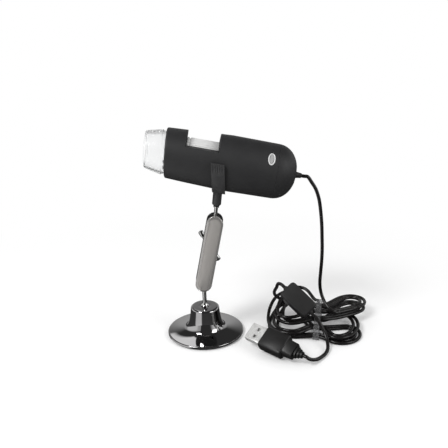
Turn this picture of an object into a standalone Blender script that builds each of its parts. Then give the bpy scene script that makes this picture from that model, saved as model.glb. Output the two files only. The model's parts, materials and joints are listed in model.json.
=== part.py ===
"""USB digital microscope on a ball-jointed clamp-arm stand, with its cord, control box and plug.

The barrel lies across the view, nose toward -X and tail toward +X, in the XZ plane. The origin is the
centre of the base's underside, +Z is up. Lengths are in metres and angles in degrees.
Frames (empties) sit on the joints: each moving piece hangs from the frame of its own joint.
"""
import math

import bmesh
import bpy
import numpy as np
from mathutils import Matrix, Vector

for old in list(bpy.data.objects):
    bpy.data.objects.remove(old, do_unlink=True)

# Clearances shared by the whole object
SEAT_GAP = 0.0003
RUNNING_GAP = 0.0004
CUT_OVERRUN = 0.002
MERGE_DISTANCE = 0.000001
SHARP_ANGLE = 35.0
ROUND_STEPS = 40
SMALL_STEPS = 20
PIN_STEPS = 16

# Base of the stand
BASE_RADIUS = 0.026
PAD_THICKNESS = 0.0008
PAD_MARGIN = 0.0012
RIM_HEIGHT = 0.0015
RIM_EDGE = 0.0007
FLANGE_INNER_RADIUS = 0.015
FLANGE_INNER_HEIGHT = 0.0043
FLANGE_DISH_RADIUS = 0.0185
FLANGE_DISH_HEIGHT = 0.0033
BOSS_FOOT_RADIUS = 0.0129
BOSS_FOOT_HEIGHT = 0.0059
BOSS_WAIST_RADIUS = 0.0105
BOSS_WAIST_HEIGHT = 0.0092
BOSS_TOP_RADIUS = 0.00975
BOSS_TOP_HEIGHT = 0.02
BOSS_EDGE = 0.0011
UNDERSIDE_WALL = 0.0025
UNDERSIDE_DEPTH = 0.0005
UNDERSIDE_RISE = 0.0021
CAVITY_RADIUS = 0.0082
CAVITY_ROOF = 0.003
STUD_BORE_CLEARANCE = 0.0003
NUT_ACROSS_CORNERS = 0.0064
NUT_HEIGHT = 0.0021

# Lower ball stud
BALL_RADIUS = 0.0042
LOWER_BALL_HEIGHT = 0.0382
LOWER_STEM_RADIUS = 0.001375
LOWER_SHANK_RADIUS = 0.0015
COLLAR_RADIUS = 0.0032
COLLAR_BAND = 0.0007
COLLAR_WAIST_RADIUS = 0.0019
COLLAR_WAIST_RISE = 0.0021
COLLAR_RISE = 0.0042

# Clamp arm
ARM_LEAN = 11.75
ARM_SPAN = 0.0427
ARM_WIDTH = 0.011
ARM_PLATE_THICKNESS = 0.0024
ARM_PLATE_GAP = 0.0068
ARM_BORDER = 0.0013
ARM_BORDER_DROP = 0.0005
BALL_SOCKET_CLEARANCE = 0.0003
BOLT_RADIUS = 0.002
BOLT_SKIN = 0.0006
BOLT_HEAD_RADIUS = 0.0028
BOLT_HEAD_HEIGHT = 0.0006
SPRING_RADIUS = 0.0033
SPRING_WIRE = 0.0007
SPRING_TURNS = 4
SPRING_POINTS = 10
WASHER_RADIUS = 0.0043
WASHER_THICKNESS = 0.0008
HUB_RADIUS = 0.0045
HUB_LENGTH = 0.0082
HUB_EDGE = 0.0006
HUB_BORE_DEPTH = 0.003
BAR_OFFSET = 0.0054
BAR_RADIUS = 0.0014
BAR_LENGTH = 0.0246
BAR_LEAN = -29.2
KNOB_RADIUS = 0.0018
KNOB_LENGTH = 0.004
KNOB_EDGE = 0.0007

# Upper ball stud and cradle
HEAD_LEAN = 7.0
HEAD_RISE = 0.0407
HEAD_BACKSET = 0.0018
UPPER_STEM_RADIUS = 0.0012
STEM_RING_RADIUS = 0.0019
STEM_RING_HEIGHT = 0.0007
NECK_START = 0.0115
NECK_TIP_RADIUS = 0.00195
NECK_RADIUS = 0.00295
NECK_TAPER = 0.0012
NECK_SHOULDER = 0.0200
NECK_TOP_RADIUS = 0.0041
NECK_TOP = 0.0219
INSERT_RADIUS = 0.0022
INSERT_WALL = 0.0007
INSERT_LENGTH = 0.0056
CLIP_CLEARANCE = 0.0003
CLIP_THICKNESS = 0.0018
CLIP_WIDTH = 0.0082
CLIP_END_ANGLE = 8.0
CLIP_BLANK_LENGTH = 0.03
CLIP_STEPS = 30
CLIP_RIBS = 5
CLIP_RIB_DEPTH = 0.0003
CLIP_RIB_WIDTH = 0.0006

# Barrel housing, measured along the barrel's axis from the middle of the cradle, tail positive
BARREL_PITCH = 11.6
MOUTH_END = -0.03315
MOUTH_RADIUS = 0.01585
MOUTH_EDGE = 0.0012
MOUTH_SLANT = 5.2
WIDEST_PLACE = 0.007
WIDEST_RADIUS = 0.0178
SLEEVE_END = 0.0363
SLEEVE_END_RADIUS = 0.01745
SLEEVE_END_EDGE = 0.0003
FRONT_BORE_RADIUS = 0.01385
DIAL_BORE_RADIUS = 0.0123
TUBE_BORE_CLEARANCE = 0.0004
REAR_BORE_RADIUS = 0.0154
NOTCH_START = -0.0213
NOTCH_END = -0.0006
NOTCH_FLOOR = 0.0086
BULKHEAD_THICKNESS = 0.002
TAIL_END = 0.0495
TAIL_FLAT_RADIUS = 0.0070
TAIL_POWER = 2.15
TAIL_STEPS = 6
TAIL_WALL = 0.0022
TAIL_SPIGOT_LENGTH = 0.0013
TAIL_SPIGOT_WALL = 0.0015
GROMMET_NECK_RADIUS = 0.0016
GROMMET_FLANGE_RADIUS = 0.0034
GROMMET_FLANGE_THICKNESS = 0.0009
GROMMET_COLLAR_RADIUS = 0.0022
GROMMET_TIP_RADIUS = 0.0016
GROMMET_LENGTH = 0.0042

# Nose cap, lamps and optics
NOSE_ROOT = -0.0352
NOSE_ROOT_RADIUS = 0.0140
NOSE_TIP = -0.0463
NOSE_TIP_RADIUS = 0.0117
NOSE_WALL = 0.0013
NOSE_EDGE = 0.0006
NOSE_SPIGOT_WALL = 0.0014
LAMP_BOARD_FACE = -0.0305
BOARD_THICKNESS = 0.0012
LAMP_BOARD_HOLE = 0.0066
LAMP_COUNT = 8
LAMP_CIRCLE_RADIUS = 0.0095
LAMP_RADIUS = 0.0014
LAMP_LENGTH = 0.0032
LAMP_STEPS = 12
RETAINER_THICKNESS = 0.0018
TUBE_RADIUS = 0.0086
TUBE_WALL = 0.0013
TUBE_FLANGE_THICKNESS = 0.0015
TUBE_TAIL = 0.009
DIAL_RADIUS = 0.012
DIAL_RIB_COUNT = 40
DIAL_RIB_DEPTH = 0.00035
DIAL_GROOVE_WIDTH = 0.0009
DIAL_GROOVE_PLACE = 0.0012
CARRIAGE_START = -0.0145
CARRIAGE_LENGTH = 0.0125
CARRIAGE_WALL = 0.0016
CARRIAGE_SHOULDER = 0.0042
CARRIAGE_STEP_RADIUS = 0.0043
PIN_RADIUS = 0.0008
PIN_PLACE = 0.0065
PIN_REACH_CLEARANCE = 0.0001
CARRIAGE_TRAVEL = 0.004
LENS_THICKNESS = 0.0022
LENS_EDGE_THICKNESS = 0.0012
LENS_RING_THICKNESS = 0.0009
LENS_RING_WALL = 0.0008
FILTER_THICKNESS = 0.0008
SENSOR_SIZE = 0.0075
SENSOR_THICKNESS = 0.001
SENSOR_BOARD_SIZE = 0.017
MAIN_BOARD_HEIGHT = 0.009
MAIN_BOARD_WIDTH = 0.0218
MAIN_BOARD_END = 0.0345
CHIP_SIZE = 0.007
CHIP_THICKNESS = 0.001
CHIP_PLACE = 0.0205

# Snap button on the near side of the tail
BUTTON_PLACE = 0.0317
BUTTON_ANGLE = 36.0
BEZEL_LENGTH = 0.0055
BEZEL_WIDTH = 0.0086
BEZEL_WALL = 0.0008
BEZEL_PROUD = 0.0003
BUTTON_PROUD = 0.00045
BUTTON_SLACK = 0.00025
BUTTON_FLANGE = 0.0004
BUTTON_FLANGE_THICKNESS = 0.0006
BUTTON_UNDERSIDE = 0.0145
SWITCH_SIZE = 0.0045
SWITCH_BODY = 0.0028
PLUNGER_INSET = 0.0012
PLUNGER_HEIGHT = 0.0005
OVAL_STEPS = 10

# Cord
CORD_RADIUS = 0.00115
CORD_GAP = 0.0003
CORD_POINT_SPACING = 0.0042
ROUTE_SAMPLES = 24
CORD_LEVEL = 2
LOOP_LEVEL = 1

# Hank: four layers of nested loops, drawn in at a waist. Each layer has one lobe to the right and one to
# the left: reach of its tip, half its length, half its width, heading, and the angles where its arc starts
# and ends, counted from the tip
WAIST_CENTRE = (0.07792, 0.00017)
WAIST_HEADING = -13.7
LAYER_COUNT = 4
LOOPS_PER_LAYER = 2
LAYER_PITCH = 0.00330
LOOP_CLEARANCE = 0.00005
WAIST_OFFSET = 0.00699
WAIST_SHIFTS = (0.00524, 0.00328, -0.00265, -0.00863)
WAIST_STRAIGHT = 0.00450
LOOP_PITCH = 0.00312
RIGHT_LOBES = ((0.04165, 0.01097, 0.00957, 33.5, -121.5, 91.3), (0.03941, 0.01049, 0.00913, 30.7, -92.3, 99.6),
               (0.02730, 0.01320, 0.01920, -14.0, -107.9, 108.2), (0.03008, 0.01181, 0.01326, -36.5, -83.1, 99.0))
LEFT_LOBES = ((0.03026, 0.01187, 0.01696, 150.7, -104.9, 109.4), (0.03158, 0.01523, 0.01595, 153.7, -81.5, 100.3),
              (0.03255, 0.01534, 0.02073, 155.9, -100.1, 118.0), (0.03514, 0.01370, 0.02065, 157.2, -101.0, 103.2))
WAIST_KNOTS = (1, 0, -1)
LOBE_KNOTS = 5
# Places along a loop are counted in knots: each side starts in the middle of the waist
SIDE_START = 1
KNOTS_PER_SIDE = 8
POINTS_PER_SIDE = 12
WAY_STEP = 0.02
PLACE_STEPS = 80
TURN_PER_LENGTH = 18.0
WAIST_RISE = 0.0010
WAIST_RISE_RAMP = 0.016
TILT_START = 0.00421
TILT_RAMP = 0.00505
TILT_SLOPE = 0.395
TILT_SLOPE_STEP = 0.070
CLIMB_START = 0.385
CLIMB_END = 0.634
CLIMB_INSET = 0.945
HANK_START = 2.5
HANK_END = 10.3
TIE_WIDTH = 0.004
TIE_THICKNESS = 0.0006
TIE_STEPS = 16

# In-line control box
BOX_CENTRE = (0.0631, -0.0065, 0.0251)
BOX_ALONG = (0.67, -0.48, -0.56)
BOX_ACROSS = (0.74, 0.40, 0.55)
BOX_LENGTH = 0.0226
BOX_WIDTH = 0.0130
BOX_HEIGHT = 0.0081
BOX_CORNER = 0.0022
BOX_EDGE = 0.001
BOX_SPLIT = 0.0003
WHEEL_RADIUS = 0.0048
WHEEL_THICKNESS = 0.0022
WHEEL_PLACE = -0.0046
WHEEL_PROUD = 0.0011
WHEEL_RIB_COUNT = 20
WHEEL_RIB_DEPTH = 0.0003
WHEEL_PIN_RADIUS = 0.0009
BOX_RELIEF_RADIUS = 0.0019
BOX_RELIEF_TIP_RADIUS = 0.0015
BOX_RELIEF_LENGTH = 0.0012
BOX_RELIEF_ROOT = 0.0013

# Plug
PLUG_FACE = (0.0388, -0.0264, 0.0088)
PLUG_HEADING = -41.0
PLUG_LIFT = 4.0
PLUG_ROLL = 32.0
GRIP_WIDTH = 0.0150
GRIP_HEIGHT = 0.0080
GRIP_LENGTH = 0.0173
GRIP_CORNER = 0.0017
GRIP_EDGE = 0.0006
STEP_WIDTH = 0.0110
STEP_HEIGHT = 0.0066
STEP_LENGTH = 0.0069
RELIEF_ROOT_WIDTH = 0.0078
RELIEF_ROOT_HEIGHT = 0.0052
RELIEF_TIP_RADIUS = 0.0022
RELIEF_CORE_RADIUS = 0.0017
RELIEF_LENGTH = 0.0056
RELIEF_RIBS = 3
SHELL_WIDTH = 0.012
SHELL_HEIGHT = 0.0045
SHELL_WALL = 0.0004
SHELL_CORNER = 0.0005
SHELL_LENGTH = 0.0117
SHELL_ROOT = 0.0035
WINDOW_SIZE = 0.0022
WINDOW_SPREAD = 0.0052
WINDOW_PLACE = 0.0054
TONGUE_WIDTH = 0.0104
TONGUE_THICKNESS = 0.0016
TONGUE_INSET = 0.0008
SECTION_CORNER_STEPS = 3

# Route of the drop from the grommet to the hank, chosen by hand; the first point is the grommet's tip
DROP_ROUTE = [
    (0.0688, 0.0000, 0.1091), (0.0717, 0.0000, 0.1051), (0.0742, 0.0000, 0.1010), (0.0757, 0.0000, 0.0970),
    (0.0768, 0.0000, 0.0929), (0.0780, 0.0000, 0.0847), (0.0788, 0.0000, 0.0764), (0.0792, 0.0000, 0.0680),
    (0.0795, 0.0000, 0.0595), (0.0795, 0.0008, 0.0500), (0.0794, 0.0030, 0.0410), (0.0797, 0.0065, 0.0315),
    (0.0806, 0.0082, 0.0250), (0.0817, 0.0070, 0.0208), (0.0833, 0.0040, 0.0174), (0.0856, 0.0006, 0.0149),
    (0.0888, -0.0010, 0.0128), (0.0922, -0.0002, 0.0115),
]
# Route from the hank's end, round the small loop, to the control box's upper end
LINK_ROUTE = [
    (0.0711, 0.0145, 0.0016), (0.0713, 0.0200, 0.0013), (0.0709, 0.0255, 0.0013),
    (0.0692, 0.0305, 0.0013), (0.0657, 0.0342, 0.0014), (0.0611, 0.0360, 0.0026), (0.0566, 0.0349, 0.0055),
    (0.0528, 0.0317, 0.0095), (0.0503, 0.0266, 0.0143), (0.0495, 0.0207, 0.0193), (0.0497, 0.0149, 0.0237),
    (0.0501, 0.0099, 0.0275), (0.0503, 0.0064, 0.0309), (0.0510, 0.0036, 0.0333),
]
# Route from the control box's lower end to the plug
LEAD_ROUTE = [
    (0.0756, -0.0158, 0.0141), (0.0776, -0.0181, 0.0108), (0.0792, -0.0211, 0.0073), (0.0801, -0.0254, 0.0041),
    (0.0796, -0.0305, 0.0019), (0.0772, -0.0358, 0.0014), (0.0738, -0.0401, 0.0015), (0.0706, -0.0436, 0.0022),
    (0.0676, -0.0463, 0.0036), (0.0650, -0.0478, 0.0052),
]


def finish(name, colour, roughness, metallic=0.0):
    """One material with the colour, roughness and metallic value of the real surface."""
    made = bpy.data.materials.new(name)
    made.use_nodes = True
    shader = made.node_tree.nodes["Principled BSDF"]
    shader.inputs["Base Color"].default_value = (*colour, 1.0)
    shader.inputs["Roughness"].default_value = roughness
    shader.inputs["Metallic"].default_value = metallic
    return made


def make_frame(name, carrier=None, place=(0, 0, 0), turn=(0, 0, 0)):
    """An empty that stands on a joint; turn is in degrees."""
    frame = bpy.data.objects.new(name, None)
    bpy.context.scene.collection.objects.link(frame)
    frame.parent = carrier
    frame.location = place
    frame.rotation_euler = [math.radians(angle) for angle in turn]
    return frame


def make_part(name, shape, material, carrier, place=(0, 0, 0), turn=(0, 0, 0)):
    """Turn a bmesh into a named object that hangs from its frame."""
    bmesh.ops.recalc_face_normals(shape, faces=shape.faces)
    mesh = bpy.data.meshes.new(name)
    shape.to_mesh(mesh)
    shape.free()
    if material:
        mesh.materials.append(material)
    mesh.shade_smooth()
    mesh.set_sharp_from_angle(angle=math.radians(SHARP_ANGLE))
    part = bpy.data.objects.new(name, mesh)
    bpy.context.scene.collection.objects.link(part)
    part.parent = carrier
    part.location = place
    part.rotation_euler = [math.radians(angle) for angle in turn]
    return part


def make_guide(name, shape, carrier, place=(0, 0, 0), turn=(0, 0, 0)):
    """A cutter or tool shape that isn't part of the object."""
    guide = make_part(name, shape, None, carrier, place, turn)
    guide.hide_render = True
    guide.display_type = "WIRE"
    return guide


def combine(part, guide, operation="DIFFERENCE"):
    """Cut with, add or keep what lies inside a guide."""
    change = part.modifiers.new(guide.name, "BOOLEAN")
    change.object = guide
    change.operation = operation
    change.solver = "EXACT"


def turned(outline, steps, axis="Z"):
    """Spin (place along the axis, radius) points a full turn; an outline off the axis closes on itself."""
    shape = bmesh.new()
    lay = {
        "X": lambda along, radius: (along, 0, radius),
        "Y": lambda along, radius: (radius, along, 0),
        "Z": lambda along, radius: (radius, 0, along),
    }[axis]
    spin_axis = Vector([float(axis == letter) for letter in "XYZ"])
    corners = [shape.verts.new(lay(along, radius)) for along, radius in outline]
    edges = [shape.edges.new(pair) for pair in zip(corners, corners[1:])]
    if min(radius for _, radius in outline) > 0:
        edges.append(shape.edges.new((corners[-1], corners[0])))
    bmesh.ops.spin(shape, geom=corners + edges, cent=(0, 0, 0), axis=spin_axis, dvec=(0, 0, 0),
                   angle=math.tau, steps=steps, use_merge=True)
    bmesh.ops.remove_doubles(shape, verts=shape.verts, dist=MERGE_DISTANCE)
    return shape


def skinned(rings, looped=False):
    """Join rings of equal counts with strips; the ends are capped, or joined to each other when looped."""
    shape = bmesh.new()
    loops = [[shape.verts.new(point) for point in ring] for ring in rings]
    pairs = list(zip(loops, loops[1:]))
    if looped:
        pairs.append((loops[-1], loops[0]))
    for lower, upper in pairs:
        for here in range(len(lower)):
            after = (here + 1) % len(lower)
            shape.faces.new((lower[here], lower[after], upper[after], upper[here]))
    if not looped:
        shape.faces.new(loops[0])
        shape.faces.new(loops[-1])
    return shape


def prism(outline, low, high):
    """An outline in XY raised from low to high."""
    return skinned([[(x, y, level) for x, y in outline] for level in (low, high)])


def ring_prism(outer, inner, low, high):
    """A wall between two outlines of equal counts, raised from low to high."""
    return skinned([[(x, y, low) for x, y in outer], [(x, y, high) for x, y in outer],
                    [(x, y, high) for x, y in inner], [(x, y, low) for x, y in inner]], looped=True)


def block(low, high):
    """A box between two corners."""
    outline = [(low[0], low[1]), (high[0], low[1]), (high[0], high[1]), (low[0], high[1])]
    return prism(outline, low[2], high[2])


def cylinder(radius, low, high, steps, axis="Z"):
    """A plain round bar along an axis."""
    return turned([(low, 0), (low, radius), (high, radius), (high, 0)], steps, axis)


def arc(centre, radius, start, end, steps):
    """Points on an arc, from one angle to another, in the outline's own plane."""
    angles = np.radians(np.linspace(start, end, steps + 1))
    return [(centre[0] + radius * math.cos(angle), centre[1] + radius * math.sin(angle)) for angle in angles]


def bend(start, corner, end, steps):
    """Points on the curve that leaves start toward corner and reaches end from corner."""
    shares = np.linspace(0, 1, steps + 1)[:, None]
    first, middle, last = np.array(start), np.array(corner), np.array(end)
    curve = (1 - shares) ** 2 * first + 2 * shares * (1 - shares) * middle + shares ** 2 * last
    return [tuple(point) for point in curve]


def oval(length, width, steps):
    """A slot outline with round ends; the longer side is along its own direction."""
    if length >= width:
        radius, reach = width / 2, (length - width) / 2
        return arc((reach, 0), radius, -90, 90, steps) + arc((-reach, 0), radius, 90, 270, steps)
    radius, reach = length / 2, (width - length) / 2
    return arc((0, reach), radius, 0, 180, steps) + arc((0, -reach), radius, 180, 360, steps)


def rounded(width, height, radius, steps=SECTION_CORNER_STEPS):
    """A rectangle with round corners, centred, anticlockwise from the lower right."""
    across, up = width / 2 - radius, height / 2 - radius
    return (arc((across, -up), radius, -90, 0, steps) + arc((across, up), radius, 0, 90, steps)
            + arc((-across, up), radius, 90, 180, steps) + arc((-across, -up), radius, 180, 270, steps))


def ribbed(radius, depth, count):
    """A circle with square ribs around it, as on a knurled wheel."""
    outline = []
    for rib in range(count):
        for share, inset in ((0.0, 0), (0.42, 0), (0.54, depth), (0.88, depth)):
            angle = math.tau * (rib + share) / count
            outline.append(((radius - inset) * math.cos(angle), (radius - inset) * math.sin(angle)))
    return outline


def smooth_step(value):
    """0 below 0, 1 above 1, and a soft rise between."""
    share = np.clip(value, 0, 1)
    return share * share * (3 - 2 * share)


def smooth_route(points, spacing):
    """Straight first and last stretches, with evenly spaced points on one smooth curve between them."""
    through = [Vector(point) for point in points]
    fine = []
    for before, start, end, after in zip(through, through[1:], through[2:], through[3:]):
        for share in np.linspace(0, 1, ROUTE_SAMPLES, endpoint=False):
            fine.append(catmull(before, start, end, after, float(share)))
    fine.append(through[-2])
    fine = np.array([tuple(point) for point in fine])
    length = np.concatenate([[0], np.cumsum(np.linalg.norm(np.diff(fine, axis=0), axis=1))])
    count = max(3, round(length[-1] / spacing))
    places = np.linspace(0, length[-1], count + 1)
    curve = np.stack([np.interp(places, length, fine[:, axis]) for axis in range(3)], axis=1)
    return np.concatenate([[tuple(through[0])], curve, [tuple(through[-1])]])


def catmull(before, start, end, after, share):
    """A point on the centripetal curve between start and end."""
    knots = [0.0]
    for first, second in ((before, start), (start, end), (end, after)):
        knots.append(knots[-1] + max((second - first).length, MERGE_DISTANCE) ** 0.5)
    place = knots[1] + (knots[2] - knots[1]) * share

    def between(low, high, first, second):
        mix = (place - knots[low]) / (knots[high] - knots[low])
        return first.lerp(second, mix)

    one = between(0, 1, before, start)
    two = between(1, 2, start, end)
    three = between(2, 3, end, after)
    return between(1, 2, between(0, 2, one, two), between(1, 3, two, three))


def make_tube(name, points, radius, level, material, carrier=None):
    """A round wire or cord along points, with filled ends."""
    curve = bpy.data.curves.new(name, "CURVE")
    curve.dimensions = "3D"
    curve.bevel_depth = radius
    curve.bevel_resolution = level
    curve.use_fill_caps = True
    curve.materials.append(material)
    line = curve.splines.new("POLY")
    line.points.add(len(points) - 1)
    for place, point in zip(line.points, points):
        place.co = (*point, 1.0)
    line.use_smooth = True
    wire = bpy.data.objects.new(name, curve)
    bpy.context.scene.collection.objects.link(wire)
    wire.parent = carrier
    return wire


def least_gap(points, radius):
    """Smallest clear distance between stretches of a tube that aren't neighbours along it."""
    fine = np.concatenate([np.linspace(points[k], points[k + 1], 6, endpoint=False)
                           for k in range(len(points) - 1)])
    length = np.concatenate([[0], np.cumsum(np.linalg.norm(np.diff(fine, axis=0), axis=1))])
    apart = np.linalg.norm(fine[:, None] - fine[None], axis=2)
    neighbours = np.abs(length[:, None] - length[None]) < 8 * radius
    return float(np.where(neighbours, np.inf, apart).min() - 2 * radius)


# Finishes
BLACK_CHROME = finish("black_chrome", (0.03, 0.03, 0.035), 0.12, 0.9)
BLACK_GLOSS = finish("black_gloss_paint", (0.012, 0.012, 0.013), 0.18)
SATIN_GREY = finish("satin_grey_metal", (0.26, 0.25, 0.23), 0.4, 0.7)
BRIGHT_STEEL = finish("bright_steel", (0.6, 0.6, 0.6), 0.22, 1.0)
BRASS = finish("brass", (0.6, 0.45, 0.2), 0.3, 1.0)
RUBBER = finish("black_rubber", (0.02, 0.02, 0.02), 0.85)
MATT_BLACK = finish("matt_black_plastic", (0.023, 0.023, 0.025), 0.6)
LIGHT_GREY = finish("light_grey_plastic", (0.62, 0.62, 0.61), 0.45)
CLEAR = finish("clear_plastic", (0.85, 0.87, 0.88), 0.08)
GLASS = finish("lens_glass", (0.75, 0.82, 0.85), 0.02)
BOARD = finish("circuit_board_green", (0.03, 0.12, 0.06), 0.5)
CHIP = finish("chip_black", (0.02, 0.02, 0.022), 0.4)
CORD_BLACK = finish("cord_black", (0.028, 0.024, 0.024), 0.5)
TIE_CLEAR = finish("tie_pale", (0.6, 0.6, 0.6), 0.35)
NICKEL = finish("nickel_plate", (0.65, 0.65, 0.66), 0.25, 1.0)

# Frames on the joints
STAND = make_frame("stand_axis")
ARM = make_frame("arm_axis", STAND, (0, 0, LOWER_BALL_HEIGHT), (0, ARM_LEAN, 0))
CLAMP = make_frame("clamp_axis", ARM, (0, 0, ARM_SPAN / 2), (0, BAR_LEAN - ARM_LEAN, 0))
HEAD = make_frame("head_axis", ARM, (0, 0, ARM_SPAN), (0, HEAD_LEAN - ARM_LEAN, 0))
CLIP = make_frame("clip_axis", HEAD, (-HEAD_BACKSET, 0, HEAD_RISE), (0, BARREL_PITCH - HEAD_LEAN, 0))
BARREL = make_frame("barrel_axis", CLIP)
BUTTON = make_frame("button_axis", BARREL, (BUTTON_PLACE, 0, 0), (90 - BUTTON_ANGLE, 0, 0))
BOARDS = make_frame("board_axis", BARREL, (0, 0, 0), (90 - BUTTON_ANGLE, 0, 0))
PLUG = make_frame("plug_axis", None, PLUG_FACE)
PLUG.rotation_euler = (Matrix.Rotation(math.radians(PLUG_HEADING), 3, "Z")
                       @ Matrix.Rotation(math.radians(PLUG_LIFT), 3, "Y")
                       @ Matrix.Rotation(math.radians(PLUG_ROLL), 3, "X")).to_euler()


def box_axes():
    """The control box's own directions: along it, across it and up through its lid."""
    along = Vector(BOX_ALONG).normalized()
    across = Vector(BOX_ACROSS)
    across = (across - across.dot(along) * along).normalized()
    return along, across, along.cross(across)


BOX = make_frame("box_axis", None, BOX_CENTRE)
BOX.rotation_euler = Matrix(box_axes()).transposed().to_euler()


def frame_matrix(*frames):
    """World placement of a chain of frames, root first, with nothing rendered or updated."""
    world = Matrix.Identity(4)
    for frame in frames:
        world = world @ Matrix.LocRotScale(frame.location, frame.rotation_euler, None)
    return world


def build_base():
    """Turned base: flat pad, dished flange, raised boss with a weight and the stud's nut inside."""
    rim_low = PAD_THICKNESS + SEAT_GAP
    rim_top = rim_low + RIM_HEIGHT
    bore = LOWER_SHANK_RADIUS + STUD_BORE_CLEARANCE
    cavity_top = BOSS_TOP_HEIGHT - CAVITY_ROOF
    outline = [(bore, BOSS_TOP_HEIGHT)]
    outline += arc((BOSS_TOP_RADIUS - BOSS_EDGE, BOSS_TOP_HEIGHT - BOSS_EDGE), BOSS_EDGE, 90, 0, 3)
    outline += bend((BOSS_TOP_RADIUS, BOSS_TOP_HEIGHT - BOSS_EDGE), (BOSS_WAIST_RADIUS, BOSS_WAIST_HEIGHT),
                    (BOSS_FOOT_RADIUS, BOSS_FOOT_HEIGHT), 5)[1:]
    outline += bend((FLANGE_INNER_RADIUS, FLANGE_INNER_HEIGHT), (FLANGE_DISH_RADIUS, FLANGE_DISH_HEIGHT),
                    (BASE_RADIUS - RIM_EDGE, rim_top), 5)
    outline += [(BASE_RADIUS, rim_top - RIM_EDGE), (BASE_RADIUS, rim_low), (BASE_RADIUS - UNDERSIDE_WALL, rim_low),
                (BASE_RADIUS - UNDERSIDE_WALL, rim_low + UNDERSIDE_DEPTH),
                (CAVITY_RADIUS, rim_low + UNDERSIDE_RISE), (CAVITY_RADIUS, cavity_top), (bore, cavity_top)]
    shell = turned([(height, radius) for radius, height in outline], ROUND_STEPS)
    make_part("base_shell", shell, BLACK_CHROME, STAND)
    pad = cylinder(BASE_RADIUS - PAD_MARGIN, 0, PAD_THICKNESS, ROUND_STEPS)
    make_part("base_foot_pad", pad, RUBBER, STAND)
    nut_top = cavity_top - SEAT_GAP
    nut_low = nut_top - NUT_HEIGHT
    weight = cylinder(CAVITY_RADIUS - SEAT_GAP, rim_low, nut_low - SEAT_GAP, SMALL_STEPS)
    make_part("base_weight", weight, BRIGHT_STEEL, STAND)
    nut = turned([(nut_low, bore), (nut_low, NUT_ACROSS_CORNERS / 2), (nut_top, NUT_ACROSS_CORNERS / 2),
                  (nut_top, bore)], 6)
    make_part("stud_nut", nut, BRIGHT_STEEL, STAND)
    return nut_low


def build_lower_stud(shank_end):
    """Ball, stem, cone-shaped collar and threaded shank in one turned piece."""
    collar_low = BOSS_TOP_HEIGHT + SEAT_GAP
    outline = [(shank_end, 0), (shank_end, LOWER_SHANK_RADIUS), (collar_low, LOWER_SHANK_RADIUS),
               (collar_low, COLLAR_RADIUS)]
    outline += bend((collar_low + COLLAR_BAND, COLLAR_RADIUS),
                    (collar_low + COLLAR_WAIST_RISE, COLLAR_WAIST_RADIUS),
                    (collar_low + COLLAR_RISE, LOWER_STEM_RADIUS), 5)
    root = math.degrees(math.asin(LOWER_STEM_RADIUS / BALL_RADIUS))
    outline += arc((LOWER_BALL_HEIGHT, 0), BALL_RADIUS, 180 - root, 0, 9)[:-1]
    outline.append((LOWER_BALL_HEIGHT + BALL_RADIUS, 0))
    make_part("lower_ball_stud", turned(outline, SMALL_STEPS), BRIGHT_STEEL, STAND)


def build_arm_plates():
    """Two long clamp plates whose ends cup the balls; the front one has a bevelled border."""
    outline = [(x, z + ARM_SPAN / 2) for z, x in oval(ARM_SPAN + ARM_WIDTH, ARM_WIDTH, 12)]
    inner_outline = [(x, z + ARM_SPAN / 2) for z, x in
                     oval(ARM_SPAN + ARM_WIDTH - 2 * ARM_BORDER, ARM_WIDTH - 2 * ARM_BORDER, 12)]
    inner_face = ARM_PLATE_GAP / 2
    outer_face = inner_face + ARM_PLATE_THICKNESS
    for name, side, material in (("arm_front_plate", -1, SATIN_GREY), ("arm_rear_plate", 1, BLACK_GLOSS)):
        rings = [[(x, side * inner_face, z) for x, z in outline],
                 [(x, side * (outer_face - ARM_BORDER_DROP), z) for x, z in outline],
                 [(x, side * outer_face, z) for x, z in inner_outline]]
        plate = make_part(name, skinned(rings), material, ARM)
        for end, place in (("lower", 0), ("upper", ARM_SPAN)):
            socket = bmesh.new()
            bmesh.ops.create_uvsphere(socket, u_segments=SMALL_STEPS, v_segments=PIN_STEPS,
                                      radius=BALL_RADIUS + BALL_SOCKET_CLEARANCE)
            combine(plate, make_guide(f"{name}_{end}_socket", socket, ARM, (0, 0, place), (90, 0, 0)))
        bore = BOLT_RADIUS + SEAT_GAP
        if side < 0:
            span = (-outer_face + BOLT_SKIN, -inner_face + CUT_OVERRUN)
            head = cylinder(BOLT_HEAD_RADIUS + SEAT_GAP, -outer_face + BOLT_SKIN,
                            -outer_face + BOLT_SKIN + BOLT_HEAD_HEIGHT + 2 * SEAT_GAP, PIN_STEPS, "Y")
            combine(plate, make_guide("bolt_head_pocket", head, ARM, (0, 0, ARM_SPAN / 2)))
        else:
            span = (inner_face - CUT_OVERRUN, outer_face + CUT_OVERRUN)
        hole = cylinder(bore, span[0], span[1], PIN_STEPS, "Y")
        combine(plate, make_guide(f"{name}_bolt_hole", hole, ARM, (0, 0, ARM_SPAN / 2)))
    return inner_face, outer_face


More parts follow.
